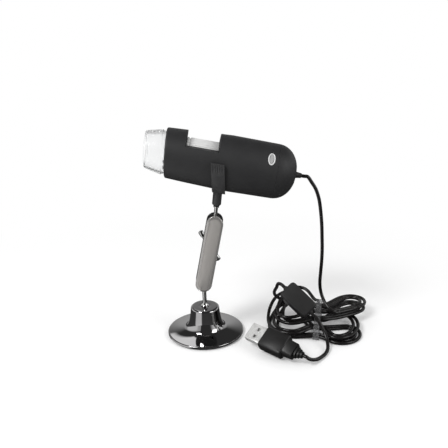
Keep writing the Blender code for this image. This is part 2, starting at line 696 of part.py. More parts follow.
def build_clamp(inner_face, outer_face):
    """Bolt, opening spring, washer, and the hub with its tightening bar on the far side."""
    middle = (0, 0, ARM_SPAN / 2)
    head_low = -outer_face + BOLT_SKIN + SEAT_GAP
    washer_low = outer_face + SEAT_GAP
    hub_low = washer_low + WASHER_THICKNESS + SEAT_GAP
    bolt_end = hub_low + HUB_BORE_DEPTH
    outline = [(head_low, 0), (head_low, BOLT_HEAD_RADIUS), (head_low + BOLT_HEAD_HEIGHT, BOLT_HEAD_RADIUS),
               (head_low + BOLT_HEAD_HEIGHT, BOLT_RADIUS), (bolt_end, BOLT_RADIUS), (bolt_end, 0)]
    make_part("clamp_bolt", turned(outline, PIN_STEPS, "Y"), BRIGHT_STEEL, ARM, middle)
    reach = inner_face - SEAT_GAP - SPRING_WIRE / 2
    count = SPRING_TURNS * SPRING_POINTS
    spring = []
    for step in range(count + 1):
        angle = math.tau * step / SPRING_POINTS
        spring.append((SPRING_RADIUS * math.cos(angle), reach * (2 * step / count - 1),
                       SPRING_RADIUS * math.sin(angle) + ARM_SPAN / 2))
    make_tube("clamp_spring", spring, SPRING_WIRE / 2, LOOP_LEVEL, BRIGHT_STEEL, ARM)
    print("least gap between the clamp spring's turns, mm:",
          round(1000 * least_gap(np.array(spring), SPRING_WIRE / 2), 3))
    bore = BOLT_RADIUS + SEAT_GAP
    washer = turned([(washer_low, bore), (washer_low, WASHER_RADIUS), (washer_low + WASHER_THICKNESS, WASHER_RADIUS),
                     (washer_low + WASHER_THICKNESS, bore)], SMALL_STEPS, "Y")
    make_part("clamp_washer", washer, BRIGHT_STEEL, ARM, middle)
    hub_end = hub_low + HUB_LENGTH
    bore_end = bolt_end + SEAT_GAP
    outline = [(bore_end, 0), (bore_end, bore), (hub_low, bore), (hub_low, HUB_RADIUS)]
    outline += arc((hub_end - HUB_EDGE, HUB_RADIUS - HUB_EDGE), HUB_EDGE, 90, 0, 2) + [(hub_end, 0)]
    hub = make_part("clamp_hub", turned(outline, SMALL_STEPS, "Y"), BLACK_GLOSS, CLAMP)
    bar_place = (0, hub_low + BAR_OFFSET, 0)
    hole = cylinder(BAR_RADIUS + SEAT_GAP, -HUB_RADIUS - CUT_OVERRUN, HUB_RADIUS + CUT_OVERRUN, PIN_STEPS)
    combine(hub, make_guide("bar_hole", hole, CLAMP, bar_place))
    end = BAR_LENGTH / 2
    tip = arc((end - KNOB_EDGE, KNOB_RADIUS - KNOB_EDGE), KNOB_EDGE, 90, 0, 2) + [(end, 0)]
    half = [(end - KNOB_LENGTH, BAR_RADIUS), (end - KNOB_LENGTH, KNOB_RADIUS)] + tip
    outline = [(-along, radius) for along, radius in reversed(half)] + half
    make_part("clamp_bar", turned(outline, PIN_STEPS), BLACK_GLOSS, CLAMP, bar_place)


def build_head():
    """Upper ball stud and the cradle that turns on its shank."""
    ring_low = NECK_START - SEAT_GAP - STEM_RING_HEIGHT
    shank_end = NECK_START + INSERT_LENGTH + SEAT_GAP
    root = math.degrees(math.asin(UPPER_STEM_RADIUS / BALL_RADIUS))
    outline = [(-BALL_RADIUS, 0)] + arc((0, 0), BALL_RADIUS, 180, root, 9)[1:]
    outline += [(ring_low, UPPER_STEM_RADIUS), (ring_low, STEM_RING_RADIUS),
                (ring_low + STEM_RING_HEIGHT, STEM_RING_RADIUS), (ring_low + STEM_RING_HEIGHT, UPPER_STEM_RADIUS),
                (shank_end, UPPER_STEM_RADIUS), (shank_end, 0)]
    make_part("upper_ball_stud", turned(outline, SMALL_STEPS), BRIGHT_STEEL, HEAD)
    bore = INSERT_RADIUS + SEAT_GAP
    shank_bore = UPPER_STEM_RADIUS + SEAT_GAP
    insert_low = NECK_START + NECK_TAPER
    insert_top = insert_low + INSERT_LENGTH
    outline = [(NECK_START, shank_bore), (NECK_START, NECK_TIP_RADIUS), (insert_low, NECK_RADIUS),
               (NECK_SHOULDER, NECK_RADIUS), (NECK_TOP, NECK_TOP_RADIUS), (NECK_TOP, 0),
               (insert_top + SEAT_GAP, 0), (insert_top + SEAT_GAP, bore), (insert_low - SEAT_GAP, bore),
               (insert_low - SEAT_GAP, shank_bore)]
    outline = outline[6:] + outline[:6]
    neck = make_guide("cradle_neck", turned(outline, SMALL_STEPS), HEAD)
    insert = turned([(insert_low, INSERT_RADIUS - INSERT_WALL), (insert_low, INSERT_RADIUS),
                     (insert_top, INSERT_RADIUS), (insert_top, INSERT_RADIUS - INSERT_WALL)], PIN_STEPS)
    make_part("neck_insert", insert, BRASS, HEAD)
    inner = WIDEST_RADIUS + CLIP_CLEARANCE
    outer = inner + CLIP_THICKNESS
    start, end = 180 - CLIP_END_ANGLE, 360 + CLIP_END_ANGLE
    section = (arc((0, 0), outer, start, end, CLIP_STEPS) + arc((0, 0), inner, end, start, CLIP_STEPS))
    rings = [[(place, y, z) for y, z in section] for place in (-CLIP_BLANK_LENGTH / 2, CLIP_BLANK_LENGTH / 2)]
    cradle = make_part("cradle", skinned(rings), MATT_BLACK, CLIP)
    slab = block((-CLIP_WIDTH / 2, -outer - CUT_OVERRUN, -outer - CUT_OVERRUN),
                 (CLIP_WIDTH / 2, outer + CUT_OVERRUN, outer + CUT_OVERRUN))
    upright = make_guide("clip_faces", slab, CLIP, (0, 0, 0), (0, -BARREL_PITCH, 0))
    combine(cradle, upright, "INTERSECT")
    combine(cradle, neck, "UNION")
    for side in (-1, 1):
        for rib in range(CLIP_RIBS):
            place = CLIP_WIDTH * ((rib + 1) / (CLIP_RIBS + 1) - 0.5)
            groove = block((place - CLIP_RIB_WIDTH / 2, -CUT_OVERRUN, -outer / 3),
                           (place + CLIP_RIB_WIDTH / 2, CLIP_RIB_DEPTH, outer / 4))
            tool = make_guide(f"clip_groove_{rib}_{'near' if side < 0 else 'far'}", groove, CLIP,
                              (0, side * outer, 0), (0, -BARREL_PITCH, 0) if side < 0 else (0, -BARREL_PITCH, 180))
            combine(cradle, tool)


def slant_front(shape, limit, slant):
    """Lean the ring of points ahead of the limit so that its top runs further forward."""
    for point in shape.verts:
        if point.co.x < limit:
            point.co.x -= point.co.z * math.tan(math.radians(slant))


def outer_radius(place):
    """The barrel's radius at a place along it: two straight tapers that meet at the widest place."""
    if place < WIDEST_PLACE:
        share = (place - MOUTH_END) / (WIDEST_PLACE - MOUTH_END)
        return MOUTH_RADIUS + (WIDEST_RADIUS - MOUTH_RADIUS) * share
    share = (place - WIDEST_PLACE) / (SLEEVE_END - WIDEST_PLACE)
    return WIDEST_RADIUS + (SLEEVE_END_RADIUS - WIDEST_RADIUS) * share


def build_sleeve():
    """Barrel wall with stepped bores, the notch over the dial and the hole for the snap button."""
    tube_bore = TUBE_RADIUS + TUBE_BORE_CLEARANCE
    front_shoulder = NOTCH_START + SEAT_GAP
    rear_shoulder = NOTCH_END + BULKHEAD_THICKNESS
    outline = [(MOUTH_END, FRONT_BORE_RADIUS)]
    outline += arc((MOUTH_END + MOUTH_EDGE, MOUTH_RADIUS - MOUTH_EDGE), MOUTH_EDGE, 180, 90, 3)
    outline += [(NOTCH_START, outer_radius(NOTCH_START)), (NOTCH_END, outer_radius(NOTCH_END)),
                (WIDEST_PLACE, WIDEST_RADIUS), (BUTTON_PLACE, outer_radius(BUTTON_PLACE)),
                (SLEEVE_END - SLEEVE_END_EDGE, SLEEVE_END_RADIUS), (SLEEVE_END, SLEEVE_END_RADIUS - SLEEVE_END_EDGE),
                (SLEEVE_END, REAR_BORE_RADIUS), (rear_shoulder, REAR_BORE_RADIUS), (rear_shoulder, tube_bore),
                (NOTCH_END, tube_bore), (NOTCH_END, DIAL_BORE_RADIUS), (front_shoulder, DIAL_BORE_RADIUS),
                (front_shoulder, FRONT_BORE_RADIUS)]
    shape = turned(outline, ROUND_STEPS, "X")
    slant_front(shape, MOUTH_END + 2 * MOUTH_EDGE, MOUTH_SLANT)
    sleeve = make_part("housing_sleeve", shape, MATT_BLACK, BARREL)
    reach = WIDEST_RADIUS + CUT_OVERRUN
    notch = block((NOTCH_START, -reach, NOTCH_FLOOR), (NOTCH_END, reach, reach))
    combine(sleeve, make_guide("dial_notch", notch, BARREL))
    hole = prism(oval(BEZEL_LENGTH + 2 * BUTTON_SLACK, BEZEL_WIDTH + 2 * BUTTON_SLACK, OVAL_STEPS),
                 REAR_BORE_RADIUS - CUT_OVERRUN, reach)
    combine(sleeve, make_guide("button_hole", hole, BUTTON))


def build_tail():
    """Rounded tail cap with a spigot into the sleeve, and the grommet in its middle."""
    start = SLEEVE_END + SEAT_GAP
    depth = TAIL_END - start

    def swept(radius, length, base):
        """Points on a quarter of a full, blunt curve from a rim to the flat end."""
        flat = TAIL_FLAT_RADIUS / SLEEVE_END_RADIUS
        stop = math.acos(flat ** (TAIL_POWER / 2))
        angles = np.linspace(0, stop, TAIL_STEPS + 1)
        full = math.sin(stop) ** (2 / TAIL_POWER)
        return [(base + length * math.sin(angle) ** (2 / TAIL_POWER) / full,
                 radius * math.cos(angle) ** (2 / TAIL_POWER)) for angle in angles]

    hole = GROMMET_NECK_RADIUS + SEAT_GAP
    spigot = REAR_BORE_RADIUS - SEAT_GAP
    cavity = spigot - TAIL_SPIGOT_WALL
    inner = swept(cavity, depth - TAIL_WALL, start)
    outline = swept(SLEEVE_END_RADIUS - SEAT_GAP / 2, depth, start)
    outline += [(TAIL_END, hole), (TAIL_END - TAIL_WALL, hole)]
    outline += list(reversed(inner))
    outline += [(start - TAIL_SPIGOT_LENGTH, cavity), (start - TAIL_SPIGOT_LENGTH, spigot), (start, spigot)]
    make_part("tail_cap", turned(outline, ROUND_STEPS, "X"), MATT_BLACK, BARREL)
    flange_high = TAIL_END - TAIL_WALL - SEAT_GAP
    collar_low = TAIL_END + SEAT_GAP
    tip = collar_low + GROMMET_LENGTH
    flange_low = flange_high - GROMMET_FLANGE_THICKNESS
    outline = [(flange_low, 0), (flange_low, GROMMET_FLANGE_RADIUS), (flange_high, GROMMET_FLANGE_RADIUS),
               (flange_high, GROMMET_NECK_RADIUS), (collar_low, GROMMET_NECK_RADIUS),
               (collar_low, GROMMET_COLLAR_RADIUS), (tip, GROMMET_TIP_RADIUS), (tip, 0)]
    make_part("cable_grommet", turned(outline, PIN_STEPS, "X"), CORD_BLACK, BARREL)
    return tip


def build_nose():
    """Clear nose cap, lamp board and its ring of lamps."""
    spigot = FRONT_BORE_RADIUS - SEAT_GAP
    board_front = LAMP_BOARD_FACE
    spigot_end = board_front - SEAT_GAP
    inner_root = spigot - NOSE_SPIGOT_WALL
    outline = [(spigot_end, inner_root), (spigot_end, spigot), (NOSE_ROOT, spigot), (NOSE_ROOT, NOSE_ROOT_RADIUS)]
    outline += arc((NOSE_TIP + NOSE_EDGE, NOSE_TIP_RADIUS - NOSE_EDGE), NOSE_EDGE, 90, 180, 2)
    outline += [(NOSE_TIP, NOSE_TIP_RADIUS - NOSE_WALL), (NOSE_ROOT, NOSE_ROOT_RADIUS - NOSE_WALL)]
    shape = turned(outline, ROUND_STEPS, "X")
    slant_front(shape, NOSE_ROOT + NOSE_EDGE, MOUTH_SLANT)
    make_part("nose_cap", shape, CLEAR, BARREL)
    board = turned([(board_front, LAMP_BOARD_HOLE), (board_front, spigot),
                    (board_front + BOARD_THICKNESS, spigot), (board_front + BOARD_THICKNESS, LAMP_BOARD_HOLE)],
                   SMALL_STEPS, "X")
    make_part("lamp_board", board, LIGHT_GREY, BARREL)
    base = board_front - SEAT_GAP
    dome_start = base - LAMP_LENGTH + LAMP_RADIUS
    outline = [(base, 0), (base, LAMP_RADIUS)] + arc((dome_start, 0), LAMP_RADIUS, 90, 180, 3)[:-1]
    outline.append((dome_start - LAMP_RADIUS, 0))
    for number in range(LAMP_COUNT):
        angle = math.tau * (number + 0.5) / LAMP_COUNT
        place = (0, LAMP_CIRCLE_RADIUS * math.cos(angle), LAMP_CIRCLE_RADIUS * math.sin(angle))
        make_part(f"lamp_{number + 1}", turned(outline, LAMP_STEPS, "X"), CLEAR, BARREL, place)
    return board_front + BOARD_THICKNESS


def build_dial():
    """Ribbed focus dial round the optics tube, and the ring that keeps it in."""
    ring_low = NOTCH_START - RETAINER_THICKNESS
    bore = TUBE_RADIUS + TUBE_BORE_CLEARANCE
    ring = turned([(ring_low, bore), (ring_low, FRONT_BORE_RADIUS - SEAT_GAP),
                   (NOTCH_START, FRONT_BORE_RADIUS - SEAT_GAP), (NOTCH_START, bore)], ROUND_STEPS, "X")
    make_part("dial_retainer", ring, MATT_BLACK, BARREL)
    start, end = NOTCH_START + RUNNING_GAP, NOTCH_END - RUNNING_GAP
    outer = ribbed(DIAL_RADIUS, DIAL_RIB_DEPTH, DIAL_RIB_COUNT)
    root = [(y * (DIAL_RADIUS - 2 * DIAL_RIB_DEPTH) / math.hypot(y, z),
             z * (DIAL_RADIUS - 2 * DIAL_RIB_DEPTH) / math.hypot(y, z)) for y, z in outer]
    inner = [(y * bore / math.hypot(y, z), z * bore / math.hypot(y, z)) for y, z in outer]
    groove = start + DIAL_GROOVE_PLACE
    sections = [(start, outer), (groove, outer), (groove, root), (groove + DIAL_GROOVE_WIDTH, root),
                (groove + DIAL_GROOVE_WIDTH, outer), (end, outer), (end, inner), (start, inner)]
    rings = [[(place, y, z) for y, z in section] for place, section in sections]
    make_part("focus_dial", skinned(rings, looped=True), LIGHT_GREY, BARREL)


def build_optics(tube_front):
    """Optics tube, the sliding lens carriage, the filter, the sensor and the boards."""
    bore = TUBE_RADIUS - TUBE_WALL
    flange_low = NOTCH_END + BULKHEAD_THICKNESS + SEAT_GAP
    flange_high = flange_low + TUBE_FLANGE_THICKNESS
    flange_radius = REAR_BORE_RADIUS - SEAT_GAP
    front = tube_front + SEAT_GAP
    outline = [(front, bore), (front, TUBE_RADIUS), (flange_low, TUBE_RADIUS), (flange_low, flange_radius),
               (flange_high, flange_radius), (flange_high, TUBE_RADIUS), (TUBE_TAIL, TUBE_RADIUS), (TUBE_TAIL, bore)]
    tube = make_part("optics_tube", turned(outline, SMALL_STEPS, "X"), MATT_BLACK, BARREL)
    pin_place = CARRIAGE_START + PIN_PLACE
    slot_reach = CARRIAGE_TRAVEL + PIN_RADIUS + RUNNING_GAP
    slot = block((pin_place - slot_reach, -PIN_RADIUS - RUNNING_GAP, 0),
                 (pin_place + slot_reach, PIN_RADIUS + RUNNING_GAP, TUBE_RADIUS + CUT_OVERRUN))
    combine(tube, make_guide("pin_slot", slot, BARREL))
    carriage_radius = bore - SEAT_GAP
    carriage_bore = carriage_radius - CARRIAGE_WALL
    carriage_end = CARRIAGE_START + CARRIAGE_LENGTH
    shoulder = CARRIAGE_START + CARRIAGE_SHOULDER
    outline = [(CARRIAGE_START, carriage_bore), (CARRIAGE_START, carriage_radius), (carriage_end, carriage_radius),
               (carriage_end, CARRIAGE_STEP_RADIUS), (shoulder, CARRIAGE_STEP_RADIUS), (shoulder, carriage_bore)]
    carriage = make_part("lens_carriage", turned(outline, SMALL_STEPS, "X"), MATT_BLACK, BARREL)
    pin = cylinder(PIN_RADIUS, carriage_radius - CARRIAGE_WALL / 2, TUBE_RADIUS - PIN_REACH_CLEARANCE, PIN_STEPS)
    combine(carriage, make_guide("follower_pin", pin, BARREL, (pin_place, 0, 0)), "UNION")
    lens_radius = carriage_bore - SEAT_GAP
    lens_rear = shoulder - SEAT_GAP
    bulge = (LENS_THICKNESS - LENS_EDGE_THICKNESS) / 2
    edge_rear, edge_front = lens_rear - bulge, lens_rear - bulge - LENS_EDGE_THICKNESS
    outline = ([(lens_rear, 0)] + bend((lens_rear, lens_radius / 3), (lens_rear, lens_radius * 2 / 3),
                                       (edge_rear, lens_radius), 2)
               + bend((edge_front, lens_radius), (edge_front - bulge, lens_radius * 2 / 3),
                      (edge_front - bulge, lens_radius / 3), 2) + [(edge_front - bulge, 0)])
    make_part("objective_lens", turned(outline, SMALL_STEPS, "X"), GLASS, BARREL)
    ring_rear = edge_front - SEAT_GAP
    ring_front = ring_rear - LENS_RING_THICKNESS
    ring = turned([(ring_front, lens_radius - LENS_RING_WALL), (ring_front, lens_radius),
                   (ring_rear, lens_radius), (ring_rear, lens_radius - LENS_RING_WALL)], SMALL_STEPS, "X")
    make_part("lens_retaining_ring", ring, BRASS, BARREL)
    sensor_front = TUBE_TAIL - SENSOR_THICKNESS
    filter_end = sensor_front - SEAT_GAP
    pane = cylinder(bore - SEAT_GAP, filter_end - FILTER_THICKNESS, filter_end, SMALL_STEPS, "X")
    make_part("infrared_filter", pane, GLASS, BARREL)
    half = SENSOR_SIZE / 2
    make_part("image_sensor", block((sensor_front, -half, -half), (TUBE_TAIL, half, half)), CHIP, BOARDS)
    half = SENSOR_BOARD_SIZE / 2
    board_low = TUBE_TAIL + SEAT_GAP
    board_high = board_low + BOARD_THICKNESS
    make_part("sensor_board", block((board_low, -half, -half), (board_high, half, half)), BOARD, BOARDS)
    half = MAIN_BOARD_WIDTH / 2
    board_top = MAIN_BOARD_HEIGHT + BOARD_THICKNESS
    main_board = block((board_high + SEAT_GAP, -half, MAIN_BOARD_HEIGHT), (MAIN_BOARD_END, half, board_top))
    make_part("main_board", main_board, BOARD, BOARDS)
    half = CHIP_SIZE / 2
    chip_top = MAIN_BOARD_HEIGHT - SEAT_GAP
    chip = block((CHIP_PLACE - half, -half, chip_top - CHIP_THICKNESS), (CHIP_PLACE + half, half, chip_top))
    make_part("controller_chip", chip, CHIP, BOARDS)
    return board_top


def build_button(board_top):
    """Oval snap button in its bezel, over a push switch on the main board."""
    wall_reach = WIDEST_RADIUS + CUT_OVERRUN
    surface = outer_radius(BUTTON_PLACE)
    outer = oval(BEZEL_LENGTH, BEZEL_WIDTH, OVAL_STEPS)
    inner = oval(BEZEL_LENGTH - 2 * BEZEL_WALL, BEZEL_WIDTH - 2 * BEZEL_WALL, OVAL_STEPS)
    flange_top = BUTTON_UNDERSIDE + BUTTON_FLANGE_THICKNESS
    bezel_low = flange_top + SEAT_GAP
    bezel = make_part("button_bezel", ring_prism(outer, inner, bezel_low, wall_reach), LIGHT_GREY, BUTTON)
    length, width = BEZEL_LENGTH - 2 * BEZEL_WALL, BEZEL_WIDTH - 2 * BEZEL_WALL
    stem = oval(length - 2 * BUTTON_SLACK, width - 2 * BUTTON_SLACK, OVAL_STEPS)
    flange = oval(length + BUTTON_FLANGE, width + BUTTON_FLANGE, OVAL_STEPS)
    sections = [(BUTTON_UNDERSIDE, flange), (flange_top, flange), (flange_top, stem), (wall_reach, stem)]
    rings = [[(x, y, level) for x, y in section] for level, section in sections]
    button = make_part("snap_button", skinned(rings), LIGHT_GREY, BUTTON)
    for part, proud in ((bezel, BEZEL_PROUD), (button, BUTTON_PROUD)):
        crown = cylinder(surface + proud, -BEZEL_WIDTH, BEZEL_WIDTH, 2 * ROUND_STEPS, "X")
        combine(part, make_guide(f"{part.name}_crown", crown, BUTTON), "INTERSECT")
    half = SWITCH_SIZE / 2
    low = board_top + SEAT_GAP
    high = low + SWITCH_BODY
    switch = block((-half, -half, low), (half, half, high))
    top = max(switch.faces, key=lambda face: face.calc_center_median().z)
    bmesh.ops.inset_region(switch, faces=[top], thickness=PLUNGER_INSET)
    raised = bmesh.ops.extrude_face_region(switch, geom=[top])
    lifted = [item for item in raised["geom"] if isinstance(item, bmesh.types.BMVert)]
    bmesh.ops.translate(switch, verts=lifted, vec=(0, 0, PLUNGER_HEIGHT))
    bmesh.ops.delete(switch, geom=[top], context="FACES")
    make_part("push_switch", switch, CHIP, BUTTON)


def loop_knots(layer):
    """Knots of a layer's outermost loop: straight through the waist, round one lobe, back and round the other."""
    knots = []
    for side, lobe in ((-1, RIGHT_LOBES[layer]), (1, LEFT_LOBES[layer])):
        reach, half_length, half_width, heading, start, end = lobe
        for along in WAIST_KNOTS:
            knots.append(headed(side * along * WAIST_STRAIGHT, side * WAIST_OFFSET + WAIST_SHIFTS[layer],
                                WAIST_HEADING))
        step = math.radians(end - start) / (LOBE_KNOTS - 1)
        swell = 6 / (4 + 2 * math.cos(step))
        for knot in range(LOBE_KNOTS):
            angle = math.radians(start) + step * knot
            knots.append(headed(reach - half_length + half_length * swell * math.cos(angle),
                                half_width * swell * math.sin(angle), heading))
    return knots


def headed(along, across, heading):
    """A point given along and across a heading in degrees."""
    turn = math.radians(heading)
    return Vector((along * math.cos(turn) - across * math.sin(turn),
                   along * math.sin(turn) + across * math.cos(turn), 0))


def on_loop(knots, place):
    """A point of the closed, evenly curved line that the knots draw along."""
    first = math.floor(place)
    share = place - first
    pulls = ((1 - share) ** 3, 3 * share ** 3 - 6 * share ** 2 + 4, 1 + 3 * (share + share ** 2 - share ** 3),
             share ** 3)
    spot = Vector()
    for step, pull in zip((-1, 0, 1, 2), pulls):
        spot += knots[(first + step) % len(knots)] * (pull / 6)
    return spot


def loop_places(knots):
    """Places for a loop's points, spread along each side so that every step turns by much the same angle."""
    places = []
    for first in (SIDE_START, SIDE_START + KNOTS_PER_SIDE):
        fine = np.linspace(first, first + KNOTS_PER_SIDE, PLACE_STEPS + 1)
        ways = [loop_way(knots, float(place)) for place in fine]
        spots = [on_loop(knots, float(place)) for place in fine]
        steps = [one.angle(two) + TURN_PER_LENGTH * (spot - other).length
                 for one, two, spot, other in zip(ways, ways[1:], spots, spots[1:])]
        run = np.concatenate([[0], np.cumsum(steps)])
        targets = np.linspace(0, run[-1], POINTS_PER_SIDE + 1)[:-1]
        places += [float(place) for place in np.interp(targets, run, fine)]
    return places


def loop_way(knots, place):
    """Direction of travel along the loop."""
    return on_loop(knots, place + WAY_STEP) - on_loop(knots, place - WAY_STEP)


def hank_path():
    """The hank's centre line, from the top layer's outermost loop to the bottom layer's.

    It spirals in on one layer and out on the next, and goes down a layer on a left turn each time.
    """
    low = CORD_RADIUS + LOOP_CLEARANCE
    loops = [loop_knots(layer) for layer in range(LAYER_COUNT)]
    total = LAYER_COUNT * LOOPS_PER_LAYER
    waist_way = headed(1, 0, WAIST_HEADING)
    points = []
    for turn in range(total):
        layer, lap = divmod(turn, LOOPS_PER_LAYER)
        nest_way = 1 - 2 * (layer % 2)
        climbs = lap == LOOPS_PER_LAYER - 1 and turn < total - 1
        for place in loop_places(loops[layer]):
            if (turn == 0 and place < HANK_START) or (turn == total - 1 and place > HANK_END):
                continue
            left_share = (place - KNOTS_PER_SIDE - 2 * SIDE_START) / (KNOTS_PER_SIDE - 2 * SIDE_START)
            left_share = min(1.0, max(0.0, left_share))
            nest = lap if nest_way > 0 else LOOPS_PER_LAYER - 1 - lap
            level = LAYER_COUNT - 1 - layer
            mix = 0.0
            if climbs:
                nest += nest_way * CLIMB_INSET * math.sin(math.pi * left_share)
                level -= float(smooth_step((left_share - CLIMB_START) / (CLIMB_END - CLIMB_START)))
                mix = float(smooth_step(left_share))
            else:
                nest += nest_way * left_share
            below = min(layer + 1, LAYER_COUNT - 1)

            way = loop_way(loops[layer], place).lerp(loop_way(loops[below], place), mix)
            inward = Vector((-way.y, way.x, 0)).normalized()
            outermost = on_loop(loops[layer], place).lerp(on_loop(loops[below], place), mix)
            spot = outermost + inward * LOOP_PITCH * nest
            lift = WAIST_RISE * (1 - float(smooth_step(abs(spot.dot(waist_way)) / WAIST_RISE_RAMP)))
            if place > KNOTS_PER_SIDE + SIDE_START:
                back = max(0.0, spot.y - TILT_START)
                lift += (TILT_SLOPE + TILT_SLOPE_STEP * level) * back * back / (back + TILT_RAMP)
            points.append((WAIST_CENTRE[0] + spot.x, WAIST_CENTRE[1] + spot.y,
                           low + level * LAYER_PITCH + lift))
    return np.array(points)


def straight_ends(points):
    """Add one straight cord diameter to each end of a path."""
    first = points[0] + unit(points[0] - points[1]) * 2 * CORD_RADIUS
    last = points[-1] + unit(points[-1] - points[-2]) * 2 * CORD_RADIUS
    return np.concatenate([[first], points, [last]])


def unit(vector):
    """A direction of length one."""
    return np.asarray(vector) / np.linalg.norm(vector)


def joined_route(start, start_heading, middle, end, end_heading):
    """A free stretch that leaves one piece square and meets the next one square."""
    start, end = np.array(start), np.array(end)
    lead_in = start + 2 * CORD_RADIUS * unit(start_heading)
    lead_out = end - 2 * CORD_RADIUS * unit(end_heading)
    route = [start, lead_in] + [np.array(point) for point in middle] + [lead_out, end]
    return smooth_route(route, CORD_POINT_SPACING)


def route_length(points):
    """Length along a centre line."""
    return float(np.linalg.norm(np.diff(points, axis=0), axis=1).sum())


def build_cord(grommet_tip):
    """The drop, the hank with its tie, the small loop to the control box and the lead to the plug."""
    barrel = frame_matrix(STAND, ARM, HEAD, CLIP, BARREL)
    box = frame_matrix(BOX)
    plug = frame_matrix(PLUG)
    hank = straight_ends(hank_path())
    make_tube("cord_hank", hank, CORD_RADIUS, LOOP_LEVEL, CORD_BLACK)
    print("least gap of the hank to itself, mm:", round(1000 * least_gap(hank, CORD_RADIUS), 3))
    start_way = unit(hank[1] - hank[0])
    end_way = unit(hank[-1] - hank[-2])
    exit_way = barrel.to_3x3() @ Vector((1, 0, 0))
    drop_start = barrel @ Vector((grommet_tip + CORD_GAP, 0, 0))
    drop = joined_route(drop_start, exit_way, DROP_ROUTE, hank[0] - start_way * CORD_GAP, start_way)
    box_way = box.to_3x3() @ Vector((1, 0, 0))
    box_reach = BOX_LENGTH / 2 + BOX_RELIEF_LENGTH + CORD_GAP
    upper_end, lower_end = box @ Vector((-box_reach, 0, 0)), box @ Vector((box_reach, 0, 0))
    link = joined_route(hank[-1] + end_way * CORD_GAP, end_way, LINK_ROUTE, upper_end, box_way)
    plug_way = plug.to_3x3() @ Vector((-1, 0, 0))
    relief_end = plug @ Vector((GRIP_LENGTH + STEP_LENGTH + RELIEF_LENGTH + CORD_GAP, 0, 0))
    lead = joined_route(lower_end, box_way, LEAD_ROUTE, relief_end, plug_way)
    total = route_length(hank)
    for name, points in (("cord_drop", drop), ("cord_link", link), ("cord_lead", lead)):
        make_tube(name, points, CORD_RADIUS, CORD_LEVEL, CORD_BLACK)
        total += route_length(points)
        print(name, "length, m:", round(route_length(points), 4))
    print("cord_hank length, m:", round(route_length(hank), 4), "all of the cord, m:", round(total, 4))
    build_tie(hank)


def build_tie(hank):
    """Band drawn tight round the outermost strands of the waist."""
    tie_frame = make_frame("tie_axis", None, (*WAIST_CENTRE, 0), (0, 0, WAIST_HEADING))
    local = [frame_matrix(tie_frame).inverted() @ Vector(point) for point in hank]
    spots = []
    for plane in (-TIE_WIDTH / 2, TIE_WIDTH / 2):
        for one, two in zip(local, local[1:]):
            if (one.x - plane) * (two.x - plane) <= 0:
                spots.append(one.lerp(two, (plane - one.x) / (two.x - one.x)))
    rim = [(spot, math.tau * step / TIE_STEPS) for spot in spots for step in range(TIE_STEPS)]

    def outline(reach):
        return [(spot.y + reach * math.cos(angle), spot.z + reach * math.sin(angle)) for spot, angle in rim]

    inner, outer = outline(CORD_RADIUS + SEAT_GAP), outline(CORD_RADIUS + SEAT_GAP + TIE_THICKNESS)
    kept = around(outer)
    band = ring_prism([outer[index] for index in kept], [inner[index] for index in kept],
                      -TIE_WIDTH / 2, TIE_WIDTH / 2)
    make_part("hank_tie", band, TIE_CLEAR, tie_frame, (0, 0, 0), (90, 0, 90))


def around(points):
    """Indices of the points on the shortest line that goes round them all."""
    order = sorted(range(len(points)), key=lambda index: points[index])
    line = []
    for ordered in (order, order[::-1]):
        half = []
        for index in ordered:
            while len(half) > 1 and turn_of(points[half[-2]], points[half[-1]], points[index]) <= MERGE_DISTANCE ** 2:
                half.pop()
            half.append(index)
        line += half[:-1]
    return line


def turn_of(one, two, three):
    """Twice the area of a triangle, positive when its corners go anticlockwise."""
    return (two[0] - one[0]) * (three[1] - one[1]) - (two[1] - one[1]) * (three[0] - one[0])


